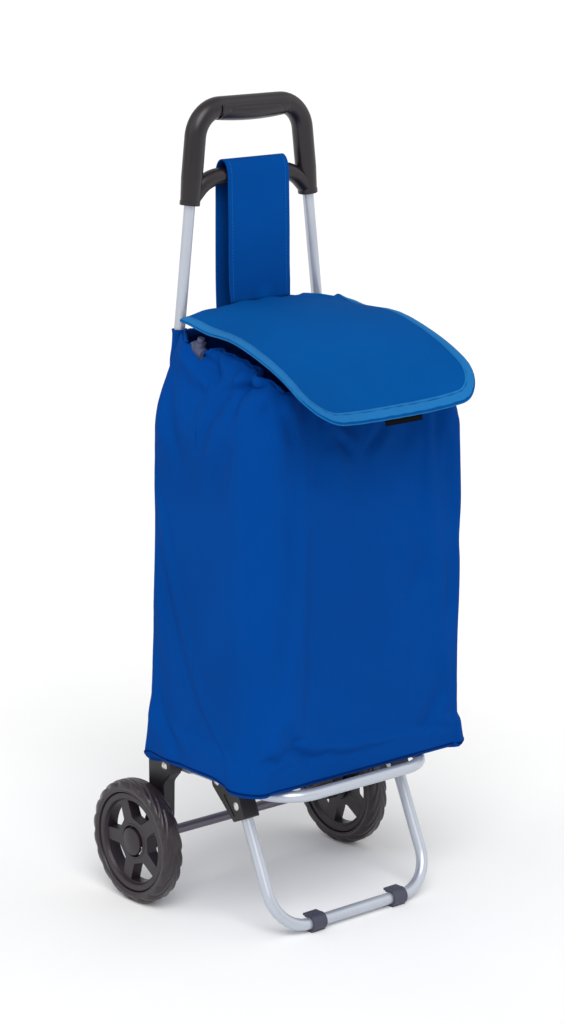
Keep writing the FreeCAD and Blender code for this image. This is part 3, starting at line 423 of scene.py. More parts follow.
def plan(left, right, back, front, back_round, front_rounds):
    """Plan of the bag, from the middle of the back past the right side: x, y and outward."""
    rows = []

    def straight(start, end, normal, count):
        for t in np.linspace(0, 1, count, endpoint=False):
            rows.append((start[0] + (end[0] - start[0]) * t, start[1] + (end[1] - start[1]) * t,
                         *normal))

    def corner(x, y, radius, start, end, count):
        for angle in np.radians(np.linspace(start, end, count, endpoint=False)):
            n = (math.cos(angle), math.sin(angle))
            rows.append((x + radius * n[0], y + radius * n[1], *n))

    fl, fr = front_rounds
    rb = back_round
    straight((0, back), (right - rb, back), (0, 1), 30)
    corner(right - rb, back - rb, rb, 90, 0, 5)
    straight((right, back - rb), (right, front + fr), (1, 0), 28)
    corner(right - fr, front + fr, fr, 0, -90, 12)
    straight((right - fr, front), (-left + fl, front), (0, -1), 50)
    corner(-left + fl, front + fl, fl, 270, 180, 12)
    straight((-left, front + fl), (-left, back - rb), (-1, 0), 28)
    corner(-left + rb, back - rb, rb, 180, 90, 5)
    straight((-left + rb, back), (0, back), (0, 1), 30)
    return np.array(rows).T


def body_plan(z):
    """The bag below its shoulder: the left side hangs in a little, the right corner is sharp."""
    left = np.interp(z, [BAG_LOW, 196, 253, 420, 560], [169.0, 168.5, 162.0, 155.5, 154.0])
    round_left = np.interp(z, [BAG_LOW, 240, 500], [34.0, 40.0, 46.0])
    return plan(left, BAG_HALF, BAG_BACK, BAG_FRONT, BACK_CORNER, (round_left, 11.0))


RIM_SIDE_Y = [-213, -200, -170, -140, -68, -24]
RIM_SIDE_Z = [642, 648, 658, 668, 680, 688]
RIM_FRONT_X = [-96, -84, -62, -44, -20, 0, 40, 80, 96]
RIM_FRONT_Z = [640, 631, 614, 603, 601, 607, 616, 631, 640]
RIM_HALF = 111.0
RIM_FRONT = -207.0


def rim_line():
    """The mouth's rim as the cord draws it in, with a dip where the cord lock sits."""
    x, y, nx, ny = plan(RIM_HALF, RIM_HALF, BAG_BACK, RIM_FRONT, 10.0, (24.0, 24.0))
    side_z = np.interp(y, RIM_SIDE_Y, RIM_SIDE_Z)
    front_z = np.interp(x, RIM_FRONT_X, RIM_FRONT_Z)
    z = np.where(y < RIM_FRONT + 10, np.minimum(side_z, front_z), side_z)
    z = np.where(ny > 0.5, MOUTH_BACK_Z, z)
    z = eased(z, 3)
    dip = 5.0 * (nx < -0.5) * (1 - smooth(np.abs(y - lock_middle_y), 12, 27))
    return np.stack([x, y, z - dip], axis=1), np.stack([nx, ny], axis=1), z


def from_line(p, q, start, end):
    """Distances along a line between two places and off it, and the line's length."""
    run = np.array(end, float) - start
    length = np.linalg.norm(run)
    run /= length
    p, q = p - start[0], q - start[1]
    return p * run[0] + q * run[1], q * run[0] - p * run[1], length


def crease(p, q, start, end, depth, width):
    """A fold line between two places of a panel: a valley with a soft ridge beside it."""
    along, off, length = from_line(p, q, start, end)
    fade = smooth(along, -width * 1.5, width * 2)
    fade = fade * (1 - smooth(along, length * 0.55, length + width))
    return fade * depth * (-1.15 * bump(off, width * 0.8) + 0.9 * bump(off - 1.6 * width, width)
                           + 0.6 * bump(off + 1.9 * width, width * 1.2))


# Fold lines on the left side (y, z), the front (x, z) and the right side (y, z).
LEFT_CREASES = [
    ((-54, 680), (-124, 640), 8.5, 7.0),
    ((-96, 676), (-112, 640), 4.0, 6.0),
    ((-190, 650), (-132, 634), 9.0, 7.0),
    ((-132, 634), (-108, 560), 3.4, 9.0),
    ((-158, 664), (-158, 606), 6.0, 6.0),
    ((-38, 630), (-80, 540), 3.4, 12.0),
    ((-176, 600), (-120, 500), 2.6, 16.0),
    ((-52, 420), (-130, 250), 2.0, 18.0),
    ((-40, 262), (-104, 190), 3.0, 11.0),
]
FRONT_CREASES = [
    ((-116, 628), (-86, 574), 4.6, 8.0),
    ((-78, 560), (-30, 520), 2.6, 13.0),
    ((-40, 586), (-2, 556), 5.0, 7.0),
    ((44, 590), (-2, 556), 4.0, 7.0),
    ((84, 620), (64, 540), 2.6, 12.0),
    ((126, 610), (118, 520), 3.2, 10.0),
    ((-148, 520), (-70, 440), 2.4, 18.0),
    ((-120, 330), (20, 262), 2.0, 24.0),
    ((-118, 262), (-64, 190), 3.2, 12.0),
    ((120, 430), (50, 350), 1.8, 18.0),
    ((136, 560), (150, 430), 3.0, 8.0),
    ((150, 430), (132, 300), 2.0, 9.0),
    ((136, 262), (100, 196), 2.4, 11.0),
]
RIGHT_CREASES = [
    ((-52, 684), (-118, 622), 7.0, 7.0),
    ((-176, 650), (-150, 580), 6.0, 8.0),
    ((-120, 664), (-112, 590), 5.0, 7.0),
    ((-60, 560), (-120, 470), 2.6, 14.0),
    ((-70, 430), (-150, 330), 2.4, 16.0),
    ((-60, 280), (-130, 210), 2.4, 12.0),
]


def gathers(share, below, strength):
    """Ripples round the mouth, drawn up by the cord, that run together further down."""
    turn = 2 * math.pi * share
    wide = np.sin(9 * turn + 1.4 * np.sin(2 * turn) + 0.4)
    middle = np.sin(19 * turn + 2.1 * np.sin(3 * turn + 1.0))
    narrow = np.sin(37 * turn + 2.7 * np.sin(5 * turn + 2.0))
    return strength * (3.6 * wide * np.exp(-below / 70) + 3.2 * middle * np.exp(-below / 36)
                       + 1.8 * narrow * np.exp(-below / 15))


def lower_edge(normal, body):
    """Height of the bag's bottom edge: raised where it hangs over the shelf's side tubes."""
    beyond = smooth(np.abs(normal[:, 0]), 0.3, 1.0)
    near_front = smooth(body[1], BAG_FRONT + 16, BAG_FRONT + 60)
    lift = beyond * (2.5 + 8.5 * near_front) + 2.0 * smooth(body[1], -60, -30) * beyond
    return BAG_LOW + eased(lift, 2)


def bag_grid():
    rim, normal, even_rim = rim_line()
    count = len(rim)
    share = np.arange(count) / count
    nx, ny = normal[:, 0], normal[:, 1]
    shoulder = np.where(ny < -0.3, even_rim - BELOW_RIM, SHOULDER_Z)
    at_corner = (ny <= 0) & (ny > -0.3)
    shoulder = np.where(at_corner, np.minimum(SHOULDER_Z, even_rim - BELOW_RIM), shoulder)
    shoulder = eased(shoulder, 6)
    low = lower_edge(normal, body_plan(BAG_LOW))
    rows = []
    ease = 0.3                   # half the height over which the bend at the shoulder is rounded
    for t in np.linspace(0, 1, 92):
        z = low + t * (rim[:, 2] - low)
        body = body_plan(float(np.mean(z)))
        rise = (z - shoulder) / (even_rim - shoulder)
        rounded = (rise + ease) ** 2 / 4 / ease
        blend = np.where(rise < -ease, 0, np.where(rise > ease, rise, rounded))
        x = body[0] + (rim[:, 0] - body[0]) * blend
        y = body[1] + (rim[:, 1] - body[1]) * blend
        rows.append(np.stack([x, y, z], axis=1))
    grid = np.array(rows)
    x, y, z = grid[:, :, 0], grid[:, :, 1], grid[:, :, 2]
    below = rim[None, :, 2] - z
    strength = np.where(ny > 0.5, 0.35, np.where(ny < -0.5, 0.7, 1.0))[None]
    out = gathers(share[None], below, strength)
    for facing, across, creases in ((-nx, y, LEFT_CREASES), (nx, y, RIGHT_CREASES),
                                    (-ny, x, FRONT_CREASES)):
        weight = smooth(facing, 0.55, 0.95)[None]
        for start, end, depth, width in creases:
            out = out + weight * crease(across, z, start, end, depth, width)
    height = np.clip((z - BAG_LOW) / (SHOULDER_Z - BAG_LOW), 0, 1)
    belly = np.sin(math.pi * height) ** 0.8
    out = out + 2.0 * belly * smooth(-ny, 0.3, 1)[None]
    foot = np.exp(-(z - low) / 26)
    at_corner = (np.abs(nx) * np.abs(ny) > 0.05) * np.where((nx > 0) & (ny < 0), 7.5, 4.0)
    out = out + foot * at_corner[None]
    out = out - 2.2 * np.exp(-((z - low) / 2.2) ** 2)
    by_lock = (nx < -0.5) * (1 - smooth(np.abs(y - lock_middle_y), 12, 32))
    out = out + 6.0 * by_lock * np.exp(-(below / 26) ** 2)
    out = np.where(ny[None] > 0.9, np.minimum(out, 0.3), out)
    grid[:, :, 0] += nx[None] * out
    grid[:, :, 1] += ny[None] * out
    return grid, normal


def floor_rings(edge, count):
    """Rings that close the bag's underside, from the middle to the wall's lowest ring."""
    middle = np.array([0, (BAG_BACK + BAG_FRONT) / 2, BAG_LOW])
    rings = []
    for share in np.linspace(0.04, 1, count, endpoint=False):
        ring = middle + (edge - middle) * share
        rise = (edge[:, 2] - BAG_LOW) * smooth(share, 0.76, 1.0)
        ripple = 0.5 * np.sin(ring[:, 0] / 23) * np.cos(ring[:, 1] / 19)
        ring[:, 2] = BAG_LOW + 0.4 + ripple + rise
        rings.append(ring)
    return np.array(rings)


walls, outward = bag_grid()
floor_count = 15
bag_points = np.concatenate([floor_rings(walls[0], floor_count), walls])
bag = grid_mesh("bag_body", bag_points, bag_cloth, closed_columns=True)


def drape(obj, pinned, frames, cap, bending, grow):
    """Let the cloth settle, held where it is sewn, and keep up to cap metres of its movement."""
    group = obj.vertex_groups.new(name="held")
    pinned = np.round(pinned, 2)
    for weight in np.unique(pinned[pinned > 0]):
        group.add(np.nonzero(pinned == weight)[0].tolist(), float(weight), "REPLACE")
    cloth = obj.modifiers.new("cloth", "CLOTH")
    settings = cloth.settings
    settings.quality = 7
    settings.mass = 0.25
    settings.tension_stiffness = settings.compression_stiffness = 22
    settings.shear_stiffness = 12
    settings.bending_stiffness = bending
    settings.vertex_group_mass = "held"
    settings.pin_stiffness = 1.0
    settings.shrink_min = -grow
    settings.use_pressure = True
    settings.uniform_pressure_force = 0.9
    scene = bpy.context.scene
    for number in range(1, frames + 1):
        scene.frame_set(number)
    evaluated = obj.evaluated_get(bpy.context.evaluated_depsgraph_get())
    count = len(obj.data.vertices)
    moved, start = np.zeros(count * 3), np.zeros(count * 3)
    evaluated.data.vertices.foreach_get("co", moved)
    obj.data.vertices.foreach_get("co", start)
    step = (moved - start).reshape(-1, 3)
    length = np.linalg.norm(step, axis=1, keepdims=True)
    step *= np.minimum(1, cap / np.maximum(length, 1e-9))
    obj.modifiers.clear()
    scene.frame_set(1)
    obj.data.vertices.foreach_set("co", (start.reshape(-1, 3) + step).ravel())
    obj.data.update()


column_count = walls.shape[1]
row_count = bag_points.shape[0]
wall_share = (np.arange(row_count) - floor_count) / (walls.shape[0] - 1)
hold = np.clip(1 - smooth(wall_share, 0.03, 0.10) + smooth(wall_share, 0.93, 0.985), 0, 1)
hold = np.repeat(hold[:, None], column_count, axis=1)
on_back = outward[:, 1] > 0.7
hold[:, on_back] = np.maximum(hold[:, on_back], 0.9)
drape(bag, hold.ravel(), frames=22, cap=0.0045, bending=1.5, grow=0.006)


# The bag's points as they lie now, in millimetres from the axle, by row and column.
settled = np.zeros(len(bag.data.vertices) * 3)
bag.data.vertices.foreach_get("co", settled)
settled = (settled.reshape(row_count, column_count, 3) - [0, AXLE_Y, 0]) * 1000
column_normals = np.concatenate([outward, np.zeros((column_count, 1))], axis=1)

# The hem follows the rim all the way round, apart from the gap at the cord lock.
top_ring = settled[-1]
lock_reach = (lock_high[1] - lock_low[1]) / 2 + 3
in_gap = (outward[:, 0] < -0.5) & (np.abs(top_ring[:, 1] - lock_middle_y) < lock_reach)
gap_columns = np.nonzero(in_gap)[0]
order = (np.arange(column_count - len(gap_columns)) + gap_columns[-1] + 1) % column_count
MOUTH_UP = np.array([0, -math.sin(math.atan(MOUTH_SLOPE)), math.cos(math.atan(MOUTH_SLOPE))])


def along_rim(inset, depth):
    """Points round the mouth at an inset from its outside and a depth below its rim."""
    base = top_ring[order] - column_normals[order] * inset
    return base - np.array([0, 0, 1.0]) * depth


def refined(path, parts):
    """A smooth curve through a path's points, with each step cut into parts."""
    path = np.asarray(path, float)
    before = np.concatenate([path[:1], path[:-2]])
    first, second = path[:-1], path[1:]
    after = np.concatenate([path[2:], path[-1:]])
    rows = []
    for t in np.arange(parts) / parts:
        rows.append(0.5 * (2 * first + (second - before) * t
                           + (2 * before - 5 * first + 4 * second - after) * t ** 2
                           + (3 * first - before - 3 * second + after) * t ** 3))
    fine = np.stack(rows, axis=1).reshape(-1, 3)
    return np.concatenate([fine, path[-1:]])


hem_line = refined(along_rim(2.6, 5.0), 3)
hem_side, hem_top = frames_along(hem_line, MOUTH_UP)
HEM_HALF_THICKNESS, HEM_HALF_HEIGHT = 3.4, 7.0
hem_section = ring_section(HEM_HALF_THICKNESS, HEM_HALF_HEIGHT, 18)
pucker = np.arange(len(hem_line))
pucker = 0.5 * np.sin(pucker * 1.25 + 1.5 * np.sin(pucker * 0.11)) + 0.3 * np.sin(pucker * 0.53)
hem_points = (hem_line[:, None] + hem_side[:, None] * hem_section[None, :, :1]
              * (1 + 0.16 * pucker[:, None, None])
              + hem_top[:, None] * hem_section[None, :, 1:] * (1 + 0.05 * pucker[:, None, None]))
hem = grid_mesh("mouth_hem_gathered", hem_points, bag_cloth, closed_columns=True)
cap_ends(hem, len(hem_line), len(hem_section))

cord_line = refined(along_rim(3.4, 5.5), 3)
CORD_RADIUS = 2.0
cord = sweep("drawcord_braided", cord_line, ring_section(CORD_RADIUS, CORD_RADIUS, 12), MOUTH_UP,
             cord_cloth)

# Seams: a corded seam above the floor, and one up the middle of each side.
piping_z = (node_box("base_piping")[0][2] + node_box("base_piping")[1][2]) / 2
wall_rows = settled[floor_count:]
front_column = 100           # a column of points on the front
piping_row = max(1, int(np.argmin(np.abs(wall_rows[:, front_column, 2] - piping_z))))
round_front = np.nonzero(outward[:, 1] < 0.9)[0]
piping_line = refined(wall_rows[piping_row][round_front] + column_normals[round_front] * 0.2, 2)
piping = sweep("base_piping_cord", piping_line, ring_section(1.5, 1.3, 10), (0, 0, 1), seam_cloth)


SEAM_Y, SEAM_SWING = -103.0, 12.0    # the seam's place, and how far it turns forward at the foot


def side_seam(name, sign):
    """A flat-felled seam up one side, with its row of stitches."""
    side_columns = np.nonzero(outward[:, 0] * sign > 0.99)[0]
    path, normals = [], []
    for row in wall_rows[piping_row + 1:-3]:
        share = (row[side_columns[0], 2] - BAG_LOW) / (SHOULDER_Z - BAG_LOW)
        target = SEAM_Y - SEAM_SWING * max(0, 0.35 - share) / 0.35
        across = row[side_columns]
        across = across[np.argsort(across[:, 1])]
        path.append([np.interp(target, across[:, 1], across[:, k]) for k in range(3)])
        normals.append([sign, 0, 0])
    path = refined(np.array(path), 2)
    path[1:-1] = (path[:-2] + 2 * path[1:-1] + path[2:]) / 4
    section = [(-2.6, -0.4), (-2.3, 0.35), (0, 0.75), (1.4, 0.75), (1.7, 0.1), (1.7, -0.4)]
    ridge = sweep(name, path, section, (sign, 0, 0), bag_cloth)
    thread = stitches(name + "_stitches", path + np.array([0.75 * sign, 1.1 * sign, 0]),
                      np.repeat([[float(sign), 0, 0]], len(path), axis=0), 3.6, 2.6, 0.28,
                      seam_cloth)
    return ridge, thread


seam_pieces = [*side_seam("side_seam_left", -1), *side_seam("side_seam_right", 1)]

modify(bag, "SUBSURF", levels=1, render_levels=1)
thicken(bag, 0.0012, -1.0)

strip_low, strip_high = node_box("loop_strip")


def touch_strip(low, high, surface, thickness, body):
    """Points of a strip of touch tape on a surface, with an uneven nap."""
    across = np.linspace(low[0], high[0], 40)
    down = np.linspace(0, 1, 15)
    grid = np.array([[surface(x, t) for x in across] for t in down])
    i, j = np.indices(grid.shape[:2])
    nap = 0.18 * np.sin(i * 2.1 + j) * np.cos(j * 1.7)
    return grid + thickness * np.array(body) * (0.75 + nap[:, :, None])


front_columns = np.nonzero(outward[:, 1] < -0.99)[0]


def front_y(x, z):
    """How far forward the front panel stands at a place on it."""
    heights, places = [], []
    for row in wall_rows:
        part = row[front_columns]
        part = part[np.argsort(part[:, 0])]
        heights.append(np.interp(x, part[:, 0], part[:, 2]))
        places.append(np.interp(x, part[:, 0], part[:, 1]))
    return np.interp(z, heights, places)


def bag_front_surface(x, t):
    z = strip_high[2] + (strip_low[2] - strip_high[2]) * t
    near = [front_y(x + dx, z + dz) for dx in (-3, 0, 3) for dz in (-3, 0, 3)]
    return np.array([x, 0.5 * (np.mean(near) + min(near)) - 0.9, z])


loop_grid = touch_strip(strip_low, strip_high, bag_front_surface, 1.2, (0, -1, 0))
loop_strip = grid_mesh("loop_tape", loop_grid, touch_cloth)
thicken(loop_strip, 0.001, 1.0)

# ---------------------------------------------------------------- sleeves on the uprights

UPRIGHT_X, FRAME_Y, LEAN = 135.5, -17.0, math.radians(6.5)
SLEEVE_LOW, SLEEVE_HIGH, SLEEVE_RADIUS = 556, 688, 8.3
BEND_Z = 829.0 - (UPRIGHT_X - 88.8) / math.tan(LEAN)


def upright_x_at(z):
    return UPRIGHT_X - (np.asarray(z, float) - BEND_Z) * math.tan(LEAN)


def make_sleeve(name, sign):
    """A cloth sleeve sewn to the bag's back corner, loose round the upright."""
    z = np.linspace(SLEEVE_LOW, SLEEVE_HIGH, 56)
    angle = np.linspace(0, 2 * math.pi, 30, endpoint=False)
    rows = []
    for i, height in enumerate(z):
        share = (height - z[0]) / (z[-1] - z[0])
        radius = SLEEVE_RADIUS + 0.5 * np.sin(3 * angle + 5 * share) * math.sin(share * 9) ** 2
        radius = radius + 0.35 * math.sin(height * 0.21 + 2 * math.sin(height * 0.05))
        radius = radius + 0.9 * smooth(abs(share - 0.5), 0.47, 0.5)
        x = sign * upright_x_at(height) + radius * np.cos(angle)
        y = FRAME_Y + radius * np.sin(angle)
        rows.append(np.stack([x, y, np.full_like(x, height)], axis=1))
    sleeve = grid_mesh(name, rows, bag_cloth, closed_columns=True)
    return thicken(sleeve, 0.0011, -1.0)


sleeves = [make_sleeve("sleeve_cloth_left", -1), make_sleeve("sleeve_cloth_right", 1)]

# ---------------------------------------------------------------- strap

ARCH_Z, ARCH_RADIUS = 859.0, 10.0
STRAP_RISE = 18.6            # middle of the cloth above the arch's centre, at the top
STRAP_PLY, STRAP_TOP = 40, 18  # points along each ply and over the arch
strap_middle = ARCH_RADIUS + 0.3 + 0.9


def tangent_point(foot, side):
    """Where a line from a foot touches the strap's round over the arch."""
    centre = np.array([FRAME_Y, ARCH_Z])
    span = centre - foot
    distance = np.linalg.norm(span)
    swing = math.asin(strap_middle / distance) * (1 if side < 0 else -1)
    angle = math.atan2(span[1], span[0]) + swing
    run = np.array([math.cos(angle), math.sin(angle)])
    return centre + side * strap_middle * np.array([run[1], -run[0]])


front_foot = np.array([-36.6, 713.0])
rear_foot = np.array([-11.5, 700.0])
front_touch = tangent_point(front_foot, -1)
rear_touch = tangent_point(rear_foot, 1)


def strap_line():
    centre = np.array([FRAME_Y, ARCH_Z])
    start = math.atan2(front_touch[1] - centre[1], front_touch[0] - centre[0]) % (2 * math.pi)
    end = math.atan2(rear_touch[1] - centre[1], rear_touch[0] - centre[0])
    points = [front_foot + (front_touch - front_foot) * t
              for t in np.linspace(0, 1, STRAP_PLY, endpoint=False)]
    for angle in np.linspace(start, end, STRAP_TOP):
        up = STRAP_RISE if math.sin(angle) > 0 else strap_middle
        points.append(centre + np.array([strap_middle * math.cos(angle), up * math.sin(angle)]))
    points += [rear_touch + (rear_foot - rear_touch) * t for t in np.linspace(0, 1, STRAP_PLY)[1:]]
    sewn_y = BAG_BACK + 1.3
    for z in np.linspace(696, 640, 14):
        points.append(np.array([sewn_y + (rear_foot[0] - sewn_y) * float(smooth(z, 650, 700)), z]))
    return np.array(points)


def strap_grid():
    line = strap_line()
    ahead = unit(np.gradient(line, axis=0))
    out = np.stack([-ahead[:, 1], ahead[:, 0]], axis=1)
    x = np.concatenate([[-45.5, -45.0, -43.5], np.linspace(-40, 40, 29), [43.5, 45.0, 45.5]])
    rows = []
    for i, (point, normal) in enumerate(zip(line, out)):
        low = smooth(735 - point[1], 0, 22) if i < STRAP_PLY else 0.0
        wave = 0.35 * np.sin(x / 13 + i * 0.11) * np.sin(i * 0.17)
        wave = wave + low * (1.3 * np.sin(x / 9.0 + 0.6) + 0.9 * np.sin(x / 4.6))
        groove = -0.35 * bump(np.abs(x) - 40.0, 1.2)
        free = 1.0 if i < STRAP_PLY else 0.0 if i < STRAP_PLY + STRAP_TOP else 0.35
        offset = (wave + groove) * free
        slid = x + 4.0 * float(smooth(point[1], 720, 870))
        rows.append(np.stack([slid, point[0] + normal[0] * offset, point[1] + normal[1] * offset],
                             axis=1))
    return np.array(rows)


strap_points = strap_grid()
strap = grid_mesh("strap_cloth_band", strap_points, strap_cloth)
thicken(strap, 0.0017, 0.0)
strap_ahead = np.gradient(strap_points[:, 16], axis=0)
strap_normals = unit(strap_ahead[:, [0, 2, 1]] * [0, -1, 1])
strap_stitches = []
for side, column_at in (("left", 3), ("right", 31)):
    line = strap_points[:, column_at] + strap_normals * 0.85
    strap_stitches.append(stitches("strap_stitches_" + side, line, strap_normals, 3.9, 2.8, 0.3,
                                   stitch_thread))

# ---------------------------------------------------------------- lid

LID_BACK_Y, LID_BACK_Z = -38.5, 703.0
LID_FRONT_Y, LID_FRONT_Z = -288.0, 621.0
LID_RISE = 24.0
LID_BACK_HALF = 121.0
LID_FRONT_HALF = 130.5
LID_CORNER = 42.0
LID_CROWN, LID_CROWN_LOSS = 11.0, 8.0    # height across the middle, and what it loses to the front
LID_FRONT_SAG = 9.0
LID_RIGHT_LIFT = 4.5
LID_WAVE = 2.0
chord = math.hypot(LID_BACK_Y - LID_FRONT_Y, LID_BACK_Z - LID_FRONT_Z)
lid_radius = ((chord / 2) ** 2 + LID_RISE ** 2) / (2 * LID_RISE)
chord_dir = np.array([LID_FRONT_Y - LID_BACK_Y, LID_FRONT_Z - LID_BACK_Z]) / chord
chord_up = np.array([chord_dir[1], -chord_dir[0]])
lid_centre = (np.array([LID_BACK_Y + LID_FRONT_Y, LID_BACK_Z + LID_FRONT_Z]) / 2
              + chord_up * (LID_RISE - lid_radius))


def lid_half_at(y):
    share = (LID_BACK_Y - y) / (LID_BACK_Y - LID_FRONT_Y)
    return LID_BACK_HALF + (LID_FRONT_HALF - LID_BACK_HALF) * share


LID_CREASES = [
    ((50, -40), (104, -78), 3.4, 5.0),
    ((108, -36), (84, -58), 3.2, 5.5),
    ((98, -46), (116, -96), 1.8, 6.5),
    ((-60, -38), (-96, -60), 1.6, 7.0),
]


def lid_height(x, y):
    """The lid's middle surface: curved front to back, crowned across, creased at one corner."""
    x, y = np.asarray(x, float), np.asarray(y, float)
    z = lid_centre[1] + np.sqrt(lid_radius ** 2 - (y - lid_centre[0]) ** 2)
    share = np.clip((LID_BACK_Y - y) / (LID_BACK_Y - LID_FRONT_Y), 0, 1)
    across = np.clip(np.abs(x) / lid_half_at(y), 0, 1)
    z = z + (LID_CROWN - LID_CROWN_LOSS * share) * (1 - across ** 2.2)
    z = z - LID_FRONT_SAG * smooth(share, 0.62, 1.0) * (1 - across ** 3)
    z = z + across ** 3 * (3.0 * bump(share - 0.82, 0.2) - 6.0 * bump(share - 0.2, 0.14))
    z = z + LID_RIGHT_LIFT * np.clip(x / 130, 0, 1) ** 2 * smooth(share, 0.05, 0.5)
    z = z + LID_WAVE * np.sin(math.pi * share) * np.sin(x / 60 + 0.6)
    for start, end, depth, width in LID_CREASES:
        along, off, length = from_line(x, y, start, end)
        fade = smooth(along, -width, width) * (1 - smooth(along, length * 0.5, length))
        z = z + fade * depth * (-bump(off, width) + 0.8 * bump(off - 1.8 * width, width * 1.2)
                                + 0.5 * bump(off + 2.0 * width, width * 1.3))
    foot = bump(y - LID_BACK_Y, 14) * (1 - smooth(np.abs(x), 50, 62))
    z = z + foot * 0.9 * np.sin(x / 6.5)
    return z


def lid_grid():
    from_front = np.concatenate([[0, 0.5, 1.5, 3, 5, 8, 12, 16, 21, 27, 34, 42],
                                 np.linspace(47, LID_BACK_Y - LID_FRONT_Y, 62)])
    rows = []
    for d in from_front[::-1]:
        y = LID_FRONT_Y + d
        half = lid_half_at(y)
        if d < LID_CORNER:
            half -= LID_CORNER - math.sqrt(LID_CORNER ** 2 - (LID_CORNER - d) ** 2)
        x = np.linspace(-half, half, 81)
        rows.append(np.stack([x, np.full_like(x, y), lid_height(x, y)], axis=1))
    return np.array(rows)


lid_points = lid_grid()
lid = grid_mesh("lid_cloth_panel", lid_points, lid_cloth)
thicken(lid, 0.0030, 0.0)


def lid_edge():
    """The lid's edge in plan, from the back left round the front to the back right."""
    corner_y = LID_FRONT_Y + LID_CORNER
    points = [(-lid_half_at(y), y) for y in np.linspace(LID_BACK_Y, corner_y, 60, endpoint=False)]
    for angle in np.radians(np.linspace(180, 270, 26)):
        y = corner_y + LID_CORNER * math.sin(angle)
        points.append((-lid_half_at(y) + LID_CORNER * (1 + math.cos(angle)), y))
    half = lid_half_at(LID_FRONT_Y) - LID_CORNER
    points += [(x, LID_FRONT_Y) for x in np.linspace(-half, 0, 26)[1:]]
    left = np.array(points)
    right = left[::-1][1:] * np.array([-1, 1])
    return np.concatenate([left, right])


edge = lid_edge()
edge_ahead = unit(np.gradient(edge, axis=0))
edge_in = np.stack([-edge_ahead[:, 1], edge_ahead[:, 0]], axis=1)


def binding_points(inward, height):
    """Points at a distance inside the lid's edge and a height from its middle surface."""
    at = edge + edge_in * inward
    return np.stack([at[:, 0], at[:, 1], lid_height(at[:, 0], at[:, 1]) + height], axis=1)


# Across the folded tape: distance inside the lid's edge and height, mirrored below the cloth.
tape_top = [(11.4, 1.5), (11.2, 2.1), (10.2, 2.2), (9.2, 1.8), (8.2, 2.15), (5.6, 2.3), (2.6, 2.3),
            (0.9, 2.0), (0.1, 1.4)]
tape_profile = tape_top + [(-0.2, 0.0)] + [(inward, -height) for inward, height in tape_top[::-1]]
tape_grid = np.stack([binding_points(*p) for p in tape_profile], axis=1)
tape_wave = 0.1 * np.sin(np.arange(len(edge)) * 0.9 + 1.2 * np.sin(np.arange(len(edge)) * 0.23))
tape_grid[:, :, 2] += tape_wave[:, None] * np.sign([height for _, height in tape_profile])[None]
binding = grid_mesh("lid_edge_tape", tape_grid, tape_cloth)
thicken(binding, 0.0004, -1.0)
up_normals = np.repeat([[0.0, 0.0, 1.0]], len(edge), axis=0)
binding_stitches = stitches("lid_edge_stitches", binding_points(9.2, 2.05), up_normals, 3.8, 2.7,
                            0.32, stitch_thread)

hook_low, hook_high = node_box("hook_strip")


def under_lid(x, t):
    """Under the lid's front, with its free edge turned down past the binding."""
    bend_y, hang, below = LID_FRONT_Y + 5.0, 9.5, 2.9
    run = (hook_high[1] - bend_y) * 0.8
    if t * (run + hang) < run:
        y = bend_y + run - t * (run + hang)
        return np.array([x, y, float(lid_height(x, y)) - below])
    drop = t * (run + hang) - run
    y = bend_y - 3.2 * float(smooth(drop, 0, 5))
    return np.array([x, y, float(lid_height(x, bend_y)) - below - drop])


hook_grid = touch_strip(hook_low, hook_high, under_lid, 0.6, (0, -0.5, -0.5))
hook_strip = grid_mesh("hook_tape", hook_grid, touch_cloth)
thicken(hook_strip, 0.001, 1.0)

# ---------------------------------------------------------------- tyres

WHEEL_PLANE, WHEEL_RADIUS = 161.5, 75.0
# Radius and half width, from the seat over the bead line and the shoulder to the crown.
half_profile = [(61.05, 12.2), (61.6, 12.9), (62.6, 13.0), (63.0, 12.5), (63.4, 12.5), (63.8, 13.0),
                (65.4, 13.15), (67.0, 13.1), (68.6, 12.95), (70.0, 12.6), (71.2, 12.15),
                (72.3, 11.5), (73.2, 10.6), (73.9, 9.6), (74.4, 8.5), (74.75, 7.3), (74.95, 6.0),
                (75.0, 4.6), (75.0, 3.2), (75.0, 1.6)]
TREAD_COUNT = 20
TREAD_LEAN = math.radians(30)
TREAD_DEPTH = 2.3
TREAD_DOWN, TREAD_IN = 0.6, 0.75         # shares of the depth towards the axle and the middle


def make_tyre(name, sign):
    """A moulded tyre with a bead line and slanting grooves cut into both shoulders."""
    far_half = [(r, -x) for r, x in half_profile[::-1]]
    profile = np.array(half_profile + [(WHEEL_RADIUS, 0.0)] + far_half)
    angles = np.linspace(0, 2 * math.pi, 400, endpoint=False)
    radius, across = profile[:, 0], profile[:, 1]
    on_shoulder = smooth(np.abs(across), 1.4, 4.6) * smooth(radius, 67.6, 70.8)
    reach = np.clip((12.8 - np.abs(across)) / 11.0, 0, 1)
    phase = angles[:, None] * TREAD_COUNT / (2 * math.pi) * np.ones((1, len(radius)))
    lean = reach ** 1.3 * TREAD_LEAN * TREAD_COUNT / (2 * math.pi)
    saw = (phase + lean[None] + 0.5) % 1.0 - 0.5
    cut = bump(saw, 0.2) * on_shoulder[None] * TREAD_DEPTH
    r = radius[None] - cut * TREAD_DOWN
    x = across[None] - np.sign(across)[None] * cut * TREAD_IN
    grid = np.stack([sign * WHEEL_PLANE + x, -r * np.sin(angles)[:, None],
                     WHEEL_RADIUS + r * np.cos(angles)[:, None]], axis=2)
    return grid_mesh(name, grid, tyre_rubber, closed_columns=True, closed_rows=True)


tyres = {"left": make_tyre("tyre_tread_left", -1), "right": make_tyre("tyre_tread_right", 1)}

# ---------------------------------------------------------------- soft grip under the handle

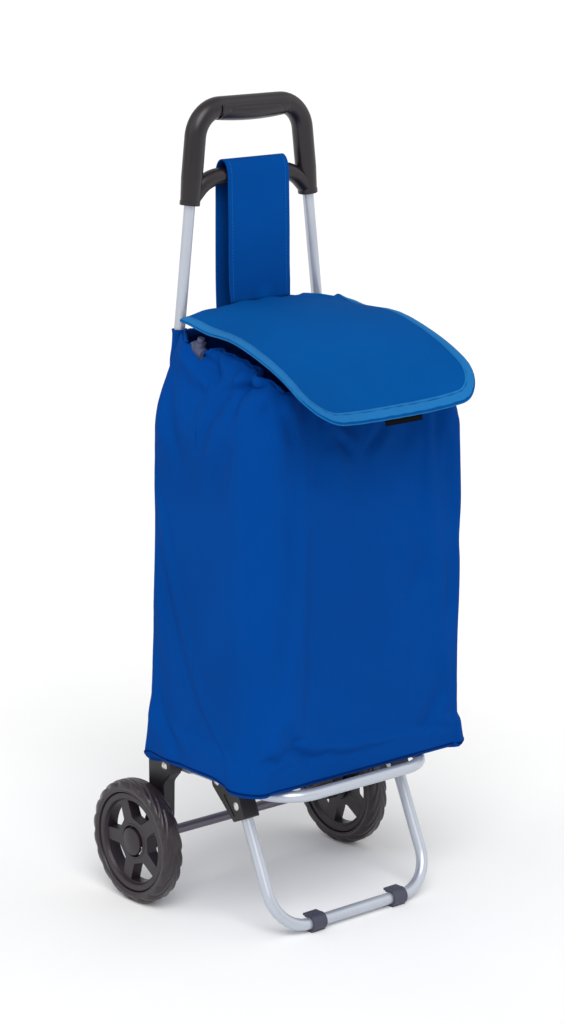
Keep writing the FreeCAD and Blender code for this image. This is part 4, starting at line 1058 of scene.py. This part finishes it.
GRIP_Z, GRIP_RADIUS = 938.0, 12.5
PAD_HALF = node_box("handle_pad")[1][0]


def pad_shape(x, arc, total):
    """Share of the pad's raised lens at a place, and its height there."""
    ends = np.clip(np.abs(x) / (PAD_HALF - 1.5), 0, 1)
    upper = 2.4 + 12.0 * np.clip((ends - 0.6) / 0.4, 0, 1) ** 2.0
    inside = smooth(arc - upper, 0, 0.7) * smooth(total - 1.0 - arc, 0, 0.7)
    inside = inside * smooth(PAD_HALF - 1.2 - np.abs(x), 0, 0.7)
    groove = bump(arc - upper + 0.5, 0.6) * (np.abs(x) < PAD_HALF - 1.0)
    bulge = 2.5 * (1 - ends ** 2) * smooth(arc, 0, 8.0)
    return inside, groove, bulge


def make_grip_pad():
    """A bulged lens that fills its recess in the grip, with a groove round it and rows of dots."""
    start = math.pi - math.asin(2.2 / GRIP_RADIUS)
    stop = 1.5 * math.pi + math.asin(4.2 / GRIP_RADIUS)
    total = (stop - start) * GRIP_RADIUS
    reach = PAD_HALF + 0.7
    x, angle = np.meshgrid(np.linspace(-reach, reach, 199),
                           np.linspace(start - 0.06, stop + 0.06, 66))
    inside, groove, bulge = pad_shape(x, (angle - start) * GRIP_RADIUS, total)
    radius = GRIP_RADIUS + 0.1 + inside * (bulge + 0.15) - 0.6 * groove * (1 - inside)
    rim = np.maximum(smooth(np.abs(x), PAD_HALF - 0.1, reach),
                     1 - smooth(np.minimum(angle - start, stop - angle), -0.06, -0.02))
    radius = radius - 0.35 * rim
    grid = np.stack([x, FRAME_Y + radius * np.cos(angle), GRIP_Z + radius * np.sin(angle)], axis=2)
    pad = grid_mesh("grip_pad_lens", grid, handle_plastic)
    thicken(pad, 0.0018, -1.0)
    points, faces = [], []
    for row, arc in enumerate(np.arange(4.6, total - 1.6, 3.3)):
        shift = 2.3 if row % 2 else 0.0
        for at in np.arange(-PAD_HALF + 4.0 + shift, PAD_HALF - 3.0, 4.6):
            inside, groove, rise = pad_shape(np.array(at), np.array(arc), total)
            if float(inside) < 0.95:
                continue
            turn = start + arc / GRIP_RADIUS
            out = np.array([0, math.cos(turn), math.sin(turn)])
            side = np.array([0, -out[2], out[1]])
            centre = np.array([at, FRAME_Y, GRIP_Z]) + out * (GRIP_RADIUS + 0.2 + float(rise))
            base = len(points)
            for size, height in ((1.05, -0.3), (0.85, 0.32), (0.45, 0.62)):
                for k in range(8):
                    swing = k * math.pi / 4
                    points.append(centre + out * height + size * (
                        np.array([math.cos(swing), 0, 0]) + side * math.sin(swing)))
            faces += ring_faces(base, 3, 8)
    dots = make_mesh("grip_pad_dots", points, faces, grip_rubber)
    return pad, dots


grip_pad, grip_dots = make_grip_pad()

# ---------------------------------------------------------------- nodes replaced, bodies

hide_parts("bag_back", "bag_front", "bag_side_left", "bag_side_right", "bag_floor")
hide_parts("mouth_hem")
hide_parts("drawcord")
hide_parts("base_piping")
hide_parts("loop_strip")
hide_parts("hook_strip")
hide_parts("bag_sleeve_left")
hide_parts("bag_sleeve_right")
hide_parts("strap")
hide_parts("lid_panel")
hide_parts("lid_binding")
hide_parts("tyre_left")
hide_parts("tyre_right")
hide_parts("handle_pad")

for soft in (bag, hem, cord, piping, loop_strip, *seam_pieces):
    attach(soft, "root")
    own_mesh(soft)
for fixed in (*sleeves, strap, *strap_stitches, grip_pad, grip_dots):
    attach(fixed, "root")
for moving in (lid, binding, binding_stitches, hook_strip):
    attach(moving, "lid")
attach(tyres["left"], "wheel_left")
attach(tyres["right"], "wheel_right")

# ---------------------------------------------------------------- floor, lights, camera

floor_material, nodes, links, shader, coords = new_material("floor")
cloud = noise_node(nodes, links, 3.0, 3.0, coords["Object"])
links.new(ramp_node(nodes, links, cloud, (0.3, (0.9, 0.9, 0.9, 1)), (0.7, (0.92, 0.92, 0.92, 1))),
          shader.inputs["Base Color"])
set_inputs(shader, {"Roughness": 0.9})
FLOOR_HALF = 60
floor_corners = [(x * FLOOR_HALF, y * FLOOR_HALF, 0)
                 for x, y in ((-1, -1), (1, -1), (1, 1), (-1, 1))]
floor_mesh = bpy.data.meshes.new("floor")
floor_mesh.from_pydata(floor_corners, [], [(0, 1, 2, 3)])
floor_mesh.materials.append(floor_material)
floor = bpy.data.objects.new("floor", floor_mesh)
bpy.context.scene.collection.objects.link(floor)

scene = bpy.context.scene
world = bpy.data.worlds.new("studio")
world.use_nodes = True
set_inputs(world.node_tree.nodes["Background"], {"Color": (1.0, 1.0, 1.0, 1), "Strength": 0.6})
scene.world = world
scene.view_settings.view_transform = "Standard"


def soft_sun(name, place, strength, spread):
    data = bpy.data.lights.new(name, "SUN")
    data.energy = strength
    data.angle = math.radians(spread)
    light = bpy.data.objects.new(name, data)
    light.location = place
    light.rotation_euler = Vector(place).to_track_quat("Z", "Y").to_euler()
    scene.collection.objects.link(light)


soft_sun("key", (-2.2, -3.4, 4.2), 1.75, 40)
soft_sun("left", (-3.6, 0.4, 2.6), 0.55, 60)
soft_sun("right", (3.2, -2.4, 2.4), 0.4, 60)

CAMERA_PLACE = (-2.1347, -2.5101, 1.2710)
CAMERA_DOWN, CAMERA_TURN = math.radians(13.635), math.radians(40.03)
camera_data = bpy.data.cameras.new("camera")
camera_data.lens = 102.14
camera_data.sensor_width = 36
camera = bpy.data.objects.new("camera", camera_data)
camera.location = CAMERA_PLACE
camera.rotation_euler = (math.pi / 2 - CAMERA_DOWN, 0, -CAMERA_TURN)
scene.collection.objects.link(camera)
scene.camera = camera
